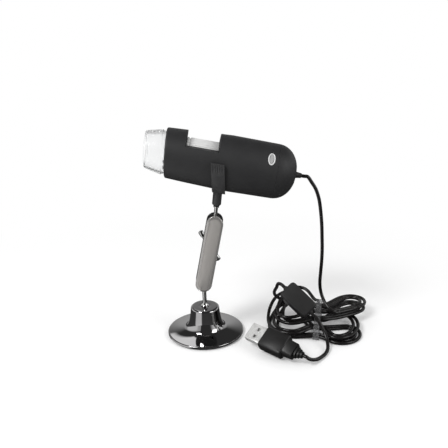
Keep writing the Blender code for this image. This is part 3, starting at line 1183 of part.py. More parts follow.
def build_control_box():
    """Two case halves round a thumbwheel, with a strain relief at each end."""
    outline = rounded(BOX_LENGTH, BOX_WIDTH, BOX_CORNER)
    lip = rounded(BOX_LENGTH - 2 * BOX_EDGE, BOX_WIDTH - 2 * BOX_EDGE, BOX_CORNER - BOX_EDGE / 2)
    wheel_centre = (WHEEL_PLACE, -BOX_WIDTH / 2 - WHEEL_PROUD + WHEEL_RADIUS, 0)
    pocket_reach = WHEEL_THICKNESS / 2 + RUNNING_GAP
    pocket = cylinder(WHEEL_RADIUS + RUNNING_GAP, -pocket_reach, pocket_reach, SMALL_STEPS)
    pocket = make_guide("wheel_pocket", pocket, BOX, wheel_centre)
    post = cylinder(WHEEL_PIN_RADIUS, -BOX_HEIGHT / 4, pocket_reach - SEAT_GAP / 2, PIN_STEPS)
    post = make_guide("wheel_post", post, BOX, wheel_centre)
    bores = []
    for name, side in (("upper", -1), ("lower", 1)):
        face = side * BOX_LENGTH / 2
        bore = turned([(0, 0), (0, BOX_RELIEF_RADIUS + SEAT_GAP),
                       (-BOX_RELIEF_ROOT - SEAT_GAP, BOX_RELIEF_RADIUS + SEAT_GAP),
                       (-BOX_RELIEF_ROOT - SEAT_GAP, 0)][::-1], PIN_STEPS, "X")
        bmesh.ops.translate(bore, verts=[point for point in bore.verts if point.co.x > -BOX_RELIEF_ROOT / 2],
                            vec=(CUT_OVERRUN, 0, 0))
        bores.append(make_guide(f"{name}_relief_bore", bore, BOX, (face, 0, 0), (0, 0, 0 if side > 0 else 180)))
        relief = turned([(-BOX_RELIEF_ROOT, 0), (-BOX_RELIEF_ROOT, BOX_RELIEF_RADIUS), (0, BOX_RELIEF_RADIUS),
                         (BOX_RELIEF_LENGTH, BOX_RELIEF_TIP_RADIUS), (BOX_RELIEF_LENGTH, 0)], PIN_STEPS, "X")
        make_part(f"box_{name}_relief", relief, CORD_BLACK, BOX, (face, 0, 0), (0, 0, 0 if side > 0 else 180))
    for name, side in (("box_lid", 1), ("box_base", -1)):
        sections = [(side * BOX_SPLIT / 2, outline), (side * (BOX_HEIGHT / 2 - BOX_EDGE), outline),
                    (side * BOX_HEIGHT / 2, lip)]
        rings = [[(x, y, level) for x, y in section] for level, section in sections]
        half = make_part(name, skinned(rings), MATT_BLACK, BOX)
        for tool in [pocket] + bores:
            combine(half, tool)
        if side < 0:
            combine(half, post, "UNION")
    rim = ribbed(WHEEL_RADIUS, WHEEL_RIB_DEPTH, WHEEL_RIB_COUNT)
    bore_radius = WHEEL_PIN_RADIUS + SEAT_GAP
    bore = [(x * bore_radius / math.hypot(x, y), y * bore_radius / math.hypot(x, y)) for x, y in rim]
    wheel = ring_prism(rim, bore, -WHEEL_THICKNESS / 2, WHEEL_THICKNESS / 2)
    make_part("dimmer_wheel", wheel, LIGHT_GREY, BOX, wheel_centre)


def build_plug():
    """Grip with its stepped and ribbed relief, the metal shell with two windows, and the contact tongue."""
    def section(place, width, height, corner):
        return [(place, y, z) for y, z in rounded(width, height, corner)]

    def round_section(place, radius):
        return section(place, 2 * radius, 2 * radius, radius * 0.98)

    step_end = GRIP_LENGTH + STEP_LENGTH
    rings = [section(0, GRIP_WIDTH - 2 * GRIP_EDGE, GRIP_HEIGHT - 2 * GRIP_EDGE, GRIP_CORNER - GRIP_EDGE / 2),
             section(GRIP_EDGE, GRIP_WIDTH, GRIP_HEIGHT, GRIP_CORNER),
             section(GRIP_LENGTH - GRIP_EDGE, GRIP_WIDTH, GRIP_HEIGHT, GRIP_CORNER),
             section(GRIP_LENGTH, GRIP_WIDTH - 2 * GRIP_EDGE, GRIP_HEIGHT - GRIP_EDGE, GRIP_CORNER),
             section(GRIP_LENGTH, STEP_WIDTH, STEP_HEIGHT, GRIP_CORNER),
             section(step_end, STEP_WIDTH - GRIP_EDGE, STEP_HEIGHT - GRIP_EDGE, GRIP_CORNER),
             section(step_end, 2 * RELIEF_CORE_RADIUS, 2 * RELIEF_CORE_RADIUS, RELIEF_CORE_RADIUS / 2)]
    pitch = RELIEF_LENGTH / RELIEF_RIBS
    for rib in range(RELIEF_RIBS):
        share = rib / (RELIEF_RIBS - 1)
        width = RELIEF_ROOT_WIDTH + (2 * RELIEF_TIP_RADIUS - RELIEF_ROOT_WIDTH) * share
        height = RELIEF_ROOT_HEIGHT + (2 * RELIEF_TIP_RADIUS - RELIEF_ROOT_HEIGHT) * share
        corner = min(width, height) / 2 * 0.9
        start = step_end + pitch * rib + pitch / 3
        stop = start + pitch * 2 / 3
        rings += [round_section(start, RELIEF_CORE_RADIUS), section(start, width, height, corner),
                  section(stop, width, height, corner)]
        if rib < RELIEF_RIBS - 1:
            rings.append(round_section(stop, RELIEF_CORE_RADIUS))
    grip = make_part("plug_grip", skinned(rings), CORD_BLACK, PLUG)
    mouth = [(place, y, z) for place in (-CUT_OVERRUN, SHELL_ROOT + SEAT_GAP)
             for y, z in rounded(SHELL_WIDTH + 2 * SEAT_GAP, SHELL_HEIGHT + 2 * SEAT_GAP, SHELL_CORNER + SEAT_GAP)]
    count = len(mouth) // 2
    combine(grip, make_guide("shell_socket", skinned([mouth[:count], mouth[count:]]), PLUG))
    outer = rounded(SHELL_WIDTH, SHELL_HEIGHT, SHELL_CORNER)
    inner = rounded(SHELL_WIDTH - 2 * SHELL_WALL, SHELL_HEIGHT - 2 * SHELL_WALL, SHELL_CORNER / 2)
    sections = [(-SHELL_LENGTH, outer), (SHELL_ROOT, outer), (SHELL_ROOT, inner), (-SHELL_LENGTH, inner)]
    rings = [[(place, y, z) for y, z in outline] for place, outline in sections]
    shell = make_part("plug_shell", skinned(rings, looped=True), NICKEL, PLUG)
    for number, side in enumerate((-1, 1)):
        half = WINDOW_SIZE / 2
        centre = side * WINDOW_SPREAD / 2
        window = block((-WINDOW_PLACE - half, centre - half, 0),
                       (-WINDOW_PLACE + half, centre + half, SHELL_HEIGHT))
        combine(shell, make_guide(f"shell_window_{number}", window, PLUG))
    low = -SHELL_HEIGHT / 2 + SHELL_WALL + SEAT_GAP
    half = TONGUE_WIDTH / 2
    tongue = block((-SHELL_LENGTH + TONGUE_INSET, -half, low), (SHELL_ROOT - SEAT_GAP, half, low + TONGUE_THICKNESS))
    make_part("plug_tongue", tongue, LIGHT_GREY, PLUG)


def build_microscope():
    """All sub-parts, from the table up and then along the cord."""
    shank_end = build_base()
    build_lower_stud(shank_end)
    inner_face, outer_face = build_arm_plates()
    build_clamp(inner_face, outer_face)
    build_head()
    build_sleeve()
    grommet_tip = build_tail()
    tube_front = build_nose()
    build_dial()
    board_top = build_optics(tube_front)
    build_button(board_top)
    build_control_box()
    build_plug()
    build_cord(grommet_tip)


build_microscope()
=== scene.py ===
"""Dressed model of the small microscope on its ball-jointed stand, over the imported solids.

Each shape is worked out in metres in the frame of its own joint, and rides on that joint's body.
"""
import json
import math

import bmesh
import bpy
import numpy as np
from mathutils import Matrix, Vector

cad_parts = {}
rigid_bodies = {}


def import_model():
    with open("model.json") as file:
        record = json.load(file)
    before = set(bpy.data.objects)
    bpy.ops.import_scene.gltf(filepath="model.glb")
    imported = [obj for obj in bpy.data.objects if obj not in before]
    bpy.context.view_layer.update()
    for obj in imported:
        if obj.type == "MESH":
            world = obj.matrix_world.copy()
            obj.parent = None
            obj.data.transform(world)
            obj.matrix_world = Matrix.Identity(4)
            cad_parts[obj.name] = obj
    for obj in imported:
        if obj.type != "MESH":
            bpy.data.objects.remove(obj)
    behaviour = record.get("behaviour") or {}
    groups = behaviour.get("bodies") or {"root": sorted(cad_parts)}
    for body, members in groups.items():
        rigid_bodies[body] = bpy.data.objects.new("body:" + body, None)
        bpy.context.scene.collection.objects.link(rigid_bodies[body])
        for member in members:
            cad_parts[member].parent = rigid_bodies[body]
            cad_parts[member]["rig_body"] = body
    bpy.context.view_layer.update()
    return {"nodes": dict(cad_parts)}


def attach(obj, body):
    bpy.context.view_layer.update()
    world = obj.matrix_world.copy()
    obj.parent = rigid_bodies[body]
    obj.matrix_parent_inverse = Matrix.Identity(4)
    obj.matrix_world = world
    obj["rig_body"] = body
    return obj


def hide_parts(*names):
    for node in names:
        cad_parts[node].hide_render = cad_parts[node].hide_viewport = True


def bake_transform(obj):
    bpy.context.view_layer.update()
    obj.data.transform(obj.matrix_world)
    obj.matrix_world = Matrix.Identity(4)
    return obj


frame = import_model()

# ---------------------------------------------------------------- frames of the real joints

LOWER_BALL_HEIGHT = 0.0382
ARM_LEAN = 11.75
ARM_SPAN = 0.0427
HEAD_TURN = -4.75
HEAD_BACKSET, HEAD_RISE = 0.0018, 0.0407
BARREL_TURN = 4.6
BUTTON_PLACE = 0.0317
BUTTON_TURN = 54.0
PLUG_FACE, PLUG_TURNS = (0.0388, -0.0264, 0.0088), (32.0, 4.0, -41.0)
BOX_CENTRE = (0.0631, -0.0065, 0.0251)
BOX_ALONG, BOX_ACROSS = (0.67, -0.48, -0.56), (0.74, 0.40, 0.55)


def stands_at(*steps):
    """Placement of a chain of frames: each step is a place and turns about X, Y, Z in degrees."""
    world = Matrix.Identity(4)
    for place, turns in steps:
        turn = Matrix.Identity(4)
        for axis, angle in zip("ZYX", reversed(turns)):
            turn = turn @ Matrix.Rotation(math.radians(angle), 4, axis)
        world = world @ Matrix.Translation(place) @ turn
    return np.array(world)


def box_frame():
    """The in-line box's own directions: along it, across it and up through its lid."""
    along = np.array(BOX_ALONG)
    along /= np.linalg.norm(along)
    across = np.array(BOX_ACROSS)
    across -= across @ along * along
    across /= np.linalg.norm(across)
    made = np.eye(4)
    made[:3, 0], made[:3, 1], made[:3, 2] = along, across, np.cross(along, across)
    made[:3, 3] = BOX_CENTRE
    return made


HEAD_STEPS = [((0, 0, LOWER_BALL_HEIGHT), (0, ARM_LEAN, 0)), ((0, 0, ARM_SPAN), (0, HEAD_TURN, 0))]
BARREL_STEPS = HEAD_STEPS + [((-HEAD_BACKSET, 0, HEAD_RISE), (0, BARREL_TURN, 0))]
STAND = np.eye(4)
HEAD = stands_at(*HEAD_STEPS)
BARREL = stands_at(*BARREL_STEPS)
BUTTON = stands_at(*BARREL_STEPS, ((BUTTON_PLACE, 0, 0), (BUTTON_TURN, 0, 0)))
PLUG = stands_at((PLUG_FACE, PLUG_TURNS))
BOX = box_frame()

# ---------------------------------------------------------------- camera

PHOTO_SIDE, FOCAL_PIXELS = 448, 600
SENSOR_WIDTH = 36.0
EYE = (0.0147, -0.372, 0.2052)
EYE_DOWN, EYE_ROLL = math.radians(18.78), math.radians(1.65)
CLIP_START, CLIP_END = 0.01, 20


def set_camera():
    """Photograph's view, from a fit to the base, the boss, the arm, the barrel and the plug."""
    lens = bpy.data.cameras.new("camera")
    lens.sensor_width = SENSOR_WIDTH
    lens.lens = FOCAL_PIXELS / PHOTO_SIDE * SENSOR_WIDTH
    lens.clip_start, lens.clip_end = CLIP_START, CLIP_END
    eye = bpy.data.objects.new("camera", lens)
    bpy.context.scene.collection.objects.link(eye)
    right = Vector((1, 0, 0))
    ahead = Vector((0, math.cos(EYE_DOWN), -math.sin(EYE_DOWN)))
    up = right.cross(ahead)
    across = right * math.cos(EYE_ROLL) - up * math.sin(EYE_ROLL)
    over = right * math.sin(EYE_ROLL) + up * math.cos(EYE_ROLL)
    turn = Matrix((across, over, -ahead)).transposed().to_4x4()
    eye.matrix_world = Matrix.Translation(EYE) @ turn
    bpy.context.scene.camera = eye


set_camera()

# ---------------------------------------------------------------- finishes


class Nodes:
    """A material's node tree with short ways to add and join nodes."""

    def __init__(self, name):
        self.material = bpy.data.materials.new(name)
        self.material.use_nodes = True
        self.tree = self.material.node_tree
        self.shader = self.tree.nodes["Principled BSDF"]
        self.place = self.tree.nodes.new("ShaderNodeTexCoord").outputs["Object"]

    def add(self, kind, inputs=(), **settings):
        node = self.tree.nodes.new(kind)
        for key, value in settings.items():
            setattr(node, key, value)
        for socket, value in dict(inputs).items():
            if isinstance(value, bpy.types.NodeSocket):
                self.tree.links.new(value, node.inputs[socket])
            else:
                node.inputs[socket].default_value = value
        return node

    def grain(self, size, detail=3.0, rough=0.55, place=None):
        """Noise whose lumps are about size metres across."""
        return self.add("ShaderNodeTexNoise", {"Vector": place or self.place, "Scale": 1.0 / size,
                                               "Detail": detail, "Roughness": rough}).outputs["Fac"]

    def spread(self, value, low, high, start=0.3, end=0.7):
        """Value from start to end becomes low to high."""
        return self.add("ShaderNodeMapRange", {"Value": value, "From Min": start, "From Max": end,
                                               "To Min": low, "To Max": high}).outputs["Result"]

    def blend(self, share, one, two):
        """Colour one, going to colour two as share goes from 0 to 1."""
        mix = self.add("ShaderNodeMix", data_type="RGBA")
        self.tree.links.new(share, mix.inputs[0])
        for socket, value in ((mix.inputs[6], one), (mix.inputs[7], two)):
            if isinstance(value, bpy.types.NodeSocket):
                self.tree.links.new(value, socket)
            else:
                socket.default_value = (*value, 1.0)
        return mix.outputs[2]

    def maths(self, operation, one, two=0.0):
        return self.add("ShaderNodeMath", {0: one, 1: two}, operation=operation).outputs[0]

    def relief(self, height, depth):
        """Bump of the given depth in metres."""
        bump = self.add("ShaderNodeBump", {"Height": height, "Distance": depth, "Strength": 1.0})
        self.tree.links.new(bump.outputs["Normal"], self.shader.inputs["Normal"])

    def drive(self, socket, value):
        self.tree.links.new(value, self.shader.inputs[socket])

    def set(self, **values):
        for name, value in values.items():
            self.shader.inputs[name.replace("_", " ")].default_value = value


SCRATCH_STRETCH = (1.0, 1.0, 0.08)
# How far the plate's face turns from the near side where its border starts, and where it ends
FACE_EDGE = (-0.99, -0.975)
FACE_ROUGHNESS, BORDER_ROUGHNESS = (0.36, 0.52), 0.07
SPRAY_SIZE, SPRAY_CLOUDS, SPRAY_DEPTH, SPRAY_SHADE = 0.00012, 0.009, 0.000012, 0.93
PLATE_METAL = 0.55
FLOW_SIZE, FLOW_DEPTH, FLOW_SHADE = 0.004, 0.00001, 1.02
TRACKS_PER_METRE, PADS_PER_METRE = 420.0, 520.0
PAD_EDGE = (0.12, 0.16)
TRACK_DEPTH, MASK_GRAIN = 0.00002, 0.0006
PAD_TIN = (0.6, 0.6, 0.58)


def clouded(name, dark, light, blotch):
    """Surface whose colour drifts between two shades in slow blotches."""
    skin = Nodes(name)
    clouds = skin.spread(skin.grain(blotch), 0.0, 1.0)
    skin.drive("Base Color", skin.blend(clouds, dark, light))
    return skin


def grained(skin, grain, roughness, depth):
    """One grain drives the roughness between two values and a bump of the given depth."""
    skin.drive("Roughness", skin.spread(grain, *roughness))
    skin.relief(grain, depth)
    return skin.material


def moulded(name, dark, light, blotch, roughness, pore, depth):
    """Moulded or painted skin: slow blotches, and fine pores that carry the bump."""
    skin = clouded(name, dark, light, blotch)
    return grained(skin, skin.grain(pore, detail=2.0), roughness, depth)


def plated(name, dark, light, blotch, roughness, scratch, depth, metal=1.0):
    """Plated metal: faint clouding, and fine scratches from a stretched noise."""
    skin = clouded(name, dark, light, blotch)
    skin.set(Metallic=metal)
    stretch = skin.add("ShaderNodeMapping", {"Vector": skin.place, "Scale": SCRATCH_STRETCH})
    lines = skin.grain(scratch, detail=4.0, rough=0.7, place=stretch.outputs["Vector"])
    return grained(skin, lines, roughness, depth)


def plate_face(name, flat, border):
    """Satin sprayed face with a polished border: the face is where the surface points to the near
    side."""
    skin = Nodes(name)
    ways = skin.add("ShaderNodeTexCoord").outputs["Normal"]
    across = skin.add("ShaderNodeSeparateXYZ", {"Vector": ways}).outputs["Y"]
    face = skin.spread(across, 1.0, 0.0, *FACE_EDGE)
    grain = skin.grain(SPRAY_SIZE, detail=2.0)
    clouds = skin.spread(skin.grain(SPRAY_CLOUDS), 0.0, 1.0)
    sprayed = skin.blend(clouds, tuple(SPRAY_SHADE * part for part in flat), flat)
    skin.drive("Base Color", skin.blend(face, border, sprayed))
    shine = skin.maths("MULTIPLY_ADD", face, skin.spread(grain, *FACE_ROUGHNESS))
    shine.node.inputs[2].default_value = BORDER_ROUGHNESS
    skin.drive("Roughness", shine)
    skin.relief(skin.maths("MULTIPLY", grain, face), SPRAY_DEPTH)
    skin.set(Metallic=PLATE_METAL)
    return skin.material


def clear_cast(name, tint, roughness, frost, clarity, ior):
    """Clear moulding with faint flow lines."""
    skin = Nodes(name)
    paler = tuple(min(1.0, FLOW_SHADE * part) for part in tint)
    skin.drive("Base Color", skin.blend(skin.grain(FLOW_SIZE), tint, paler))
    skin.set(Transmission_Weight=clarity, IOR=ior)
    return grained(skin, skin.grain(frost), roughness, FLOW_DEPTH)


def printed_board(name):
    """Lacquered board: green mask with a grid of darker tracks and small tinned pads."""
    skin = Nodes(name)
    tracks = skin.add("ShaderNodeTexBrick", {
        "Vector": skin.place, "Scale": TRACKS_PER_METRE, "Mortar Size": 0.06,
        "Color1": (0.03, 0.17, 0.07, 1), "Color2": (0.035, 0.15, 0.065, 1),
        "Mortar": (0.02, 0.09, 0.045, 1)})
    spots = skin.add("ShaderNodeTexVoronoi", {"Vector": skin.place, "Scale": PADS_PER_METRE})
    pads = skin.spread(spots.outputs["Distance"], 1.0, 0.0, *PAD_EDGE)
    skin.drive("Base Color", skin.blend(pads, tracks.outputs["Color"], PAD_TIN))
    skin.drive("Metallic", pads)
    skin.drive("Roughness", skin.spread(skin.grain(MASK_GRAIN), 0.25, 0.4))
    skin.relief(tracks.outputs["Fac"], TRACK_DEPTH)
    return skin.material


# Dark and light shade, size of the blotches, roughness, size and depth of the scratches or pores
PLATED = {
    "dark_chrome": ((0.40, 0.395, 0.40), (0.44, 0.435, 0.435), 0.02, (0.035, 0.06), 0.0008, 8e-7),
    "bright_chrome": ((0.55, 0.55, 0.55), (0.62, 0.62, 0.61), 0.006, (0.05, 0.12), 0.0003, 1e-6),
    "plug_plating": ((0.76, 0.76, 0.75), (0.86, 0.86, 0.85), 0.005, (0.24, 0.38), 0.0002, 3e-6,
                     0.45),
    "turned_brass": ((0.55, 0.40, 0.16), (0.68, 0.52, 0.24), 0.004, (0.18, 0.3), 0.0002, 4e-6),
}
MOULDED = {
    "foot_rubber": ((0.012,) * 3, (0.02,) * 3, 0.008, (0.75, 0.9), 0.0003, 3e-5),
    "gloss_enamel": ((0.008, 0.008, 0.009), (0.012, 0.012, 0.013), 0.006, (0.06, 0.12), 0.0012,
                     6e-6),
    "barrel_matt": ((0.0155, 0.0155, 0.0165), (0.0195, 0.0195, 0.0205), 0.012, (0.5, 0.62),
                    0.00016, 1.6e-5),
    "clip_matt": ((0.028, 0.028, 0.029), (0.036, 0.036, 0.037), 0.006, (0.42, 0.55), 0.00012,
                  1e-5),
    "case_matt": ((0.011,) * 3, (0.017, 0.0165, 0.0165), 0.006, (0.36, 0.5), 0.00014, 1e-5),
    "inner_matt": ((0.01,) * 3, (0.016,) * 3, 0.005, (0.6, 0.8), 0.0002, 1e-5),
    "dial_grey": ((0.66, 0.66, 0.655), (0.74, 0.74, 0.735), 0.005, (0.38, 0.5), 0.00015, 8e-6),
    "button_grey": ((0.33,) * 3, (0.38,) * 3, 0.003, (0.36, 0.48), 0.00015, 8e-6),
    "bezel_pale": ((0.62,) * 3, (0.70,) * 3, 0.003, (0.22, 0.32), 0.00015, 5e-6),
    "wheel_grey": ((0.05,) * 3, (0.07,) * 3, 0.003, (0.4, 0.55), 0.00015, 8e-6),
    "cord_vinyl": ((0.006, 0.005, 0.005), (0.009, 0.008, 0.008), 0.006, (0.2, 0.32), 0.0004,
                   1.2e-5),
    "grip_vinyl": ((0.009,) * 3, (0.014, 0.0135, 0.0135), 0.006, (0.34, 0.46), 0.0002, 1e-5),
    "relief_vinyl": ((0.012, 0.011, 0.011), (0.018, 0.017, 0.017), 0.004, (0.45, 0.6), 0.0002,
                     1e-5),
    "chip_resin": ((0.018,) * 3, (0.028,) * 3, 0.002, (0.4, 0.55), 0.0001, 6e-6),
    "tongue_white": ((0.70, 0.70, 0.69), (0.78, 0.78, 0.77), 0.003, (0.35, 0.5), 0.0002, 5e-6),
    "lamp_plate": ((0.84,) * 3, (0.9,) * 3, 0.003, (0.3, 0.4), 0.0002, 5e-6),
}
# Tint, roughness, size of the frost, share that shines through, and index of refraction
CLEAR = {
    "nose_clear": ((0.975, 0.978, 0.98), (0.05, 0.14), 0.0011, 0.95, 1.2),
    "lamp_clear": ((0.95, 0.955, 0.96), (0.03, 0.1), 0.0008, 0.8, 1.4),
    "coated_glass": ((0.80, 0.88, 0.9), (0.0, 0.03), 0.001, 0.95, 1.5),
    "tie_film": ((0.94, 0.94, 0.95), (0.05, 0.16), 0.0009, 0.93, 1.18),
}
FINISH = {name: make(name, *row)
          for make, rows in ((plated, PLATED), (moulded, MOULDED), (clear_cast, CLEAR))
          for name, row in rows.items()}
FINISH["satin_plate"] = plate_face("satin_plate", (0.50, 0.478, 0.455), (0.34, 0.33, 0.32))
FINISH["board_green"] = printed_board("board_green")

# ---------------------------------------------------------------- shapes

JOIN_DISTANCE = 1e-7
EASED_SHARE = 0.45
SOLID_JOIN_DISTANCE = 2e-6
FLAT_ANGLE, EDGE_ANGLE = math.radians(0.8), math.radians(32.0)
# Steps round each turned piece, and the reach of its eased edges
TURNING = {"dished_base": (192, 0.0002), "foot_pad": (128, 0.0002),
           "lower_ball_pin": (96, 0.0001), "upper_ball_pin": (96, 0.0001),
           "barrel_wall": (192, 0.00015), "tail_dome": (160, 0.00005),
           "tapered_grommet": (64, 0.0001), "nose_bell": (160, 0.0003)}
AXES = {"X": ((1, 0, 0), (0, 1, 0), (0, 0, 1)), "Y": ((0, 1, 0), (0, 0, 1), (1, 0, 0)),
        "Z": ((0, 0, 1), (1, 0, 0), (0, 1, 0))}


def placed(points, where):
    """Points moved by a 4 by 4 placement."""
    return points @ where[:3, :3].T + where[:3, 3]


def surface(name, grid, finish, body, replaces=(), wrap_rows=False, caps=False):
    """A mesh from a rows by columns grid of points. Each row closes on itself, the columns may too,
    and the ends may be capped.

    Point (i, j) joins (i+1, j), (i+1, j+1) and (i, j+1); points are merged where they meet a pole.
    """
    rows, columns = grid.shape[:2]
    index = np.arange(rows * columns).reshape(rows, columns)
    down = np.roll(index, -1, 0) if wrap_rows else index[1:]
    here = index if wrap_rows else index[:-1]
    quads = np.stack([here, down, np.roll(down, -1, 1), np.roll(here, -1, 1)], -1)
    faces = quads.reshape(-1, 4).tolist()
    if caps:
        faces += [index[0].tolist(), index[-1][::-1].tolist()]
    mesh = bpy.data.meshes.new(name)
    mesh.from_pydata(grid.reshape(-1, 3).tolist(), [], faces)
    shape = bmesh.new()
    shape.from_mesh(mesh)
    bmesh.ops.remove_doubles(shape, verts=shape.verts, dist=JOIN_DISTANCE)
    bmesh.ops.recalc_face_normals(shape, faces=shape.faces)
    shape.to_mesh(mesh)
    shape.free()
    mesh.shade_smooth()
    return dressed(name, mesh, finish, body, replaces)


def dressed(name, mesh, finish, body, replaces=()):
    """A finished piece: its material, the body it rides on and the solids it stands for."""
    piece = bpy.data.objects.new(name, mesh)
    bpy.context.scene.collection.objects.link(piece)
    mesh.materials.clear()
    mesh.materials.append(FINISH[finish])
    if body:
        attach(piece, body)
    if replaces:
        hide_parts(*replaces)
    return piece


def eased(outline, reach, steps=5):
    """An outline whose corners are rounded: each becomes a parabola between points up to reach away
    on its two sides, less where a side is short."""
    points = np.array(outline, float)
    before, after = points[:-2] - points[1:-1], points[2:] - points[1:-1]
    far, near = (np.linalg.norm(way, axis=1, keepdims=True) for way in (before, after))
    start = points[1:-1] + before * np.minimum(reach / far, EASED_SHARE)
    end = points[1:-1] + after * np.minimum(reach / near, EASED_SHARE)
    share = np.linspace(0, 1, steps)[None, :, None]
    curve = ((1 - share) ** 2 * start[:, None] + 2 * share * (1 - share) * points[1:-1, None]
             + share ** 2 * end[:, None])
    return np.concatenate([points[:1], curve.reshape(-1, 2), points[-1:]])


def arc(centre, radius, start, end, steps):
    """(place along, radius) points on an arc between two angles in degrees."""
    angle = np.radians(np.linspace(start, end, steps + 1))
    return [(centre[0] + radius * math.cos(a), centre[1] + radius * math.sin(a)) for a in angle]


def bends(places, counts):
    """(place along, radius) points on a chain of parabolas: places gives their ends, with the
    corner that each is drawn to between them, and counts the steps on each."""
    points = [places[0]]
    for first, steps in zip(range(0, len(places), 2), counts):
        start, corner, end = (np.array(place) for place in places[first:first + 3])
        share = np.linspace(0, 1, steps + 1)[1:, None]
        curve = (1 - share) ** 2 * start + 2 * share * (1 - share) * corner + share ** 2 * end
        points += [tuple(point) for point in curve]
    return points


def turned(outline, axis, steps, slant=None):
    """Turned surface: a point at place t and radius r goes to t along the axis plus r times
    (cos a, sin a) across it. A slant (limit, degrees) leans the points ahead of the limit by their
    height."""
    along, side, up = (np.array(way, float) for way in AXES[axis])
    outline = np.array(outline, float)
    angle = np.linspace(0, math.tau, steps, endpoint=False)
    ring = np.cos(angle)[:, None] * side + np.sin(angle)[:, None] * up
    grid = outline[:, None, :1] * along + outline[:, None, 1:] * ring[None]
    if slant:
        limit, degrees = slant
        lean = grid[..., 2] * math.tan(math.radians(degrees))
        grid[..., 0] -= np.where(grid[..., 0] < limit, lean, 0)
    return grid


def turned_piece(name, outline, axis, place, finish, body, node, slant=None):
    """A closed turned piece with eased edges. An outline off the axis closes on itself."""
    steps, edge = TURNING[name]
    outline = [tuple(point) for point in outline]
    if min(radius for _, radius in outline) > 0:
        outline = outline + outline[:1]
        middle = tuple((np.array(outline[0]) + np.array(outline[1])) / 2)
        outline = [middle] + outline[1:-1] + [outline[0], middle]
    grid = turned(eased(outline, edge), axis, steps, slant)
    return surface(name, placed(grid, place), finish, body, (node,))


def softened(name, node, edge, finish, slot=None, segments=2):
    """Copy of a solid with its corners shared, its flat faces joined and its edges rounded."""
    source = frame["nodes"][node]
    shape = bmesh.new()
    shape.from_mesh(source.data)
    bmesh.ops.remove_doubles(shape, verts=shape.verts, dist=SOLID_JOIN_DISTANCE)
    bmesh.ops.dissolve_limit(shape, angle_limit=FLAT_ANGLE, verts=shape.verts, edges=shape.edges)
    mesh = bpy.data.meshes.new(name)
    shape.to_mesh(mesh)
    shape.free()
    mesh.shade_smooth()
    piece = dressed(name, mesh, finish, source["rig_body"], (node,))
    rounding = piece.modifiers.new("eased_edges", "BEVEL")
    rounding.width = edge
    rounding.segments = segments
    rounding.limit_method = "ANGLE"
    rounding.angle_limit = EDGE_ANGLE
    rounding.harden_normals = True
    return piece


# ---------------------------------------------------------------- cord

CORD_RADIUS = 0.00115
TUBE_SIDES = 20
# Hank: four layers of nested loops, drawn in at a waist
WAIST_CENTRE = np.array((0.07792, 0.00017))
WAIST_HEADING = -13.7
WAIST_OFFSET, WAIST_STRAIGHT = 0.00699, 0.00450
WAIST_SHIFTS = (0.00524, 0.00328, -0.00265, -0.00863)
LAYERS, LAPS = 4, 2
LAYER_PITCH, LOOP_PITCH = 0.00330, 0.00312
# Reach of a lobe's tip, half its length and width, heading, and its arc's first and last angle
RIGHT_LOBES = ((0.04165, 0.01097, 0.00957, 33.5, -121.5, 91.3),
               (0.03941, 0.01049, 0.00913, 30.7, -92.3, 99.6),
               (0.02730, 0.01320, 0.01920, -14.0, -107.9, 108.2),
               (0.03008, 0.01181, 0.01326, -36.5, -83.1, 99.0))
LEFT_LOBES = ((0.03026, 0.01187, 0.01696, 150.7, -104.9, 109.4),
              (0.03158, 0.01523, 0.01595, 153.7, -81.5, 100.3),
              (0.03255, 0.01534, 0.02073, 155.9, -100.1, 118.0),
              (0.03514, 0.01370, 0.02065, 157.2, -101.0, 103.2))
WAIST_KNOTS = np.array((1.0, 0.0, -1.0))
LOBE_KNOTS = 5
SIDE_START, SIDE_KNOTS = 1, 8
POINTS_PER_SIDE, FINE_PLACES = 48, 161
WAY_STEP = 0.02
TURN_PER_LENGTH = 18.0
HANK_START, HANK_END = 2.5, 10.3
CLIMB_START, CLIMB_END, CLIMB_INSET = 0.385, 0.634, 0.945
FLOOR_GAP = 0.00005
WAIST_RISE, WAIST_RAMP = 0.0010, 0.016
LEAN_START, LEAN_RAMP = 0.00421, 0.00505
LEAN_SLOPE, LEAN_SLOPE_STEP = 0.395, 0.070
# Places that the free stretches go through
ROUTE_SPACING, ROUTE_SAMPLES = 0.0006, 24
DROP_ROUTE = (
    (0.0688, 0.0000, 0.1091), (0.0717, 0.0000, 0.1051), (0.0742, 0.0000, 0.1010),
    (0.0757, 0.0000, 0.0970), (0.0768, 0.0000, 0.0929), (0.0780, 0.0000, 0.0847),
    (0.0788, 0.0000, 0.0764), (0.0792, 0.0000, 0.0680), (0.0795, 0.0000, 0.0595),
    (0.0795, 0.0008, 0.0500), (0.0794, 0.0030, 0.0410), (0.0797, 0.0065, 0.0315),
    (0.0806, 0.0082, 0.0250), (0.0817, 0.0070, 0.0208), (0.0833, 0.0040, 0.0174),
    (0.0856, 0.0006, 0.0149), (0.0888, -0.0010, 0.0128), (0.0922, -0.0002, 0.0115))
LINK_ROUTE = (
    (0.0711, 0.0145, 0.0016), (0.0713, 0.0200, 0.0013), (0.0709, 0.0255, 0.0013),
    (0.0692, 0.0305, 0.0013), (0.0657, 0.0342, 0.0014), (0.0611, 0.0360, 0.0026),
    (0.0566, 0.0349, 0.0055), (0.0528, 0.0317, 0.0095), (0.0503, 0.0266, 0.0143),
    (0.0495, 0.0207, 0.0193), (0.0497, 0.0149, 0.0237), (0.0501, 0.0099, 0.0275),
    (0.0503, 0.0064, 0.0309), (0.0510, 0.0036, 0.0333))
LEAD_ROUTE = (
    (0.0756, -0.0158, 0.0141), (0.0776, -0.0181, 0.0108), (0.0792, -0.0211, 0.0073),
    (0.0801, -0.0254, 0.0041), (0.0796, -0.0305, 0.0019), (0.0772, -0.0358, 0.0014),
    (0.0738, -0.0401, 0.0015), (0.0706, -0.0436, 0.0022), (0.0676, -0.0463, 0.0036),
    (0.0650, -0.0478, 0.0052))


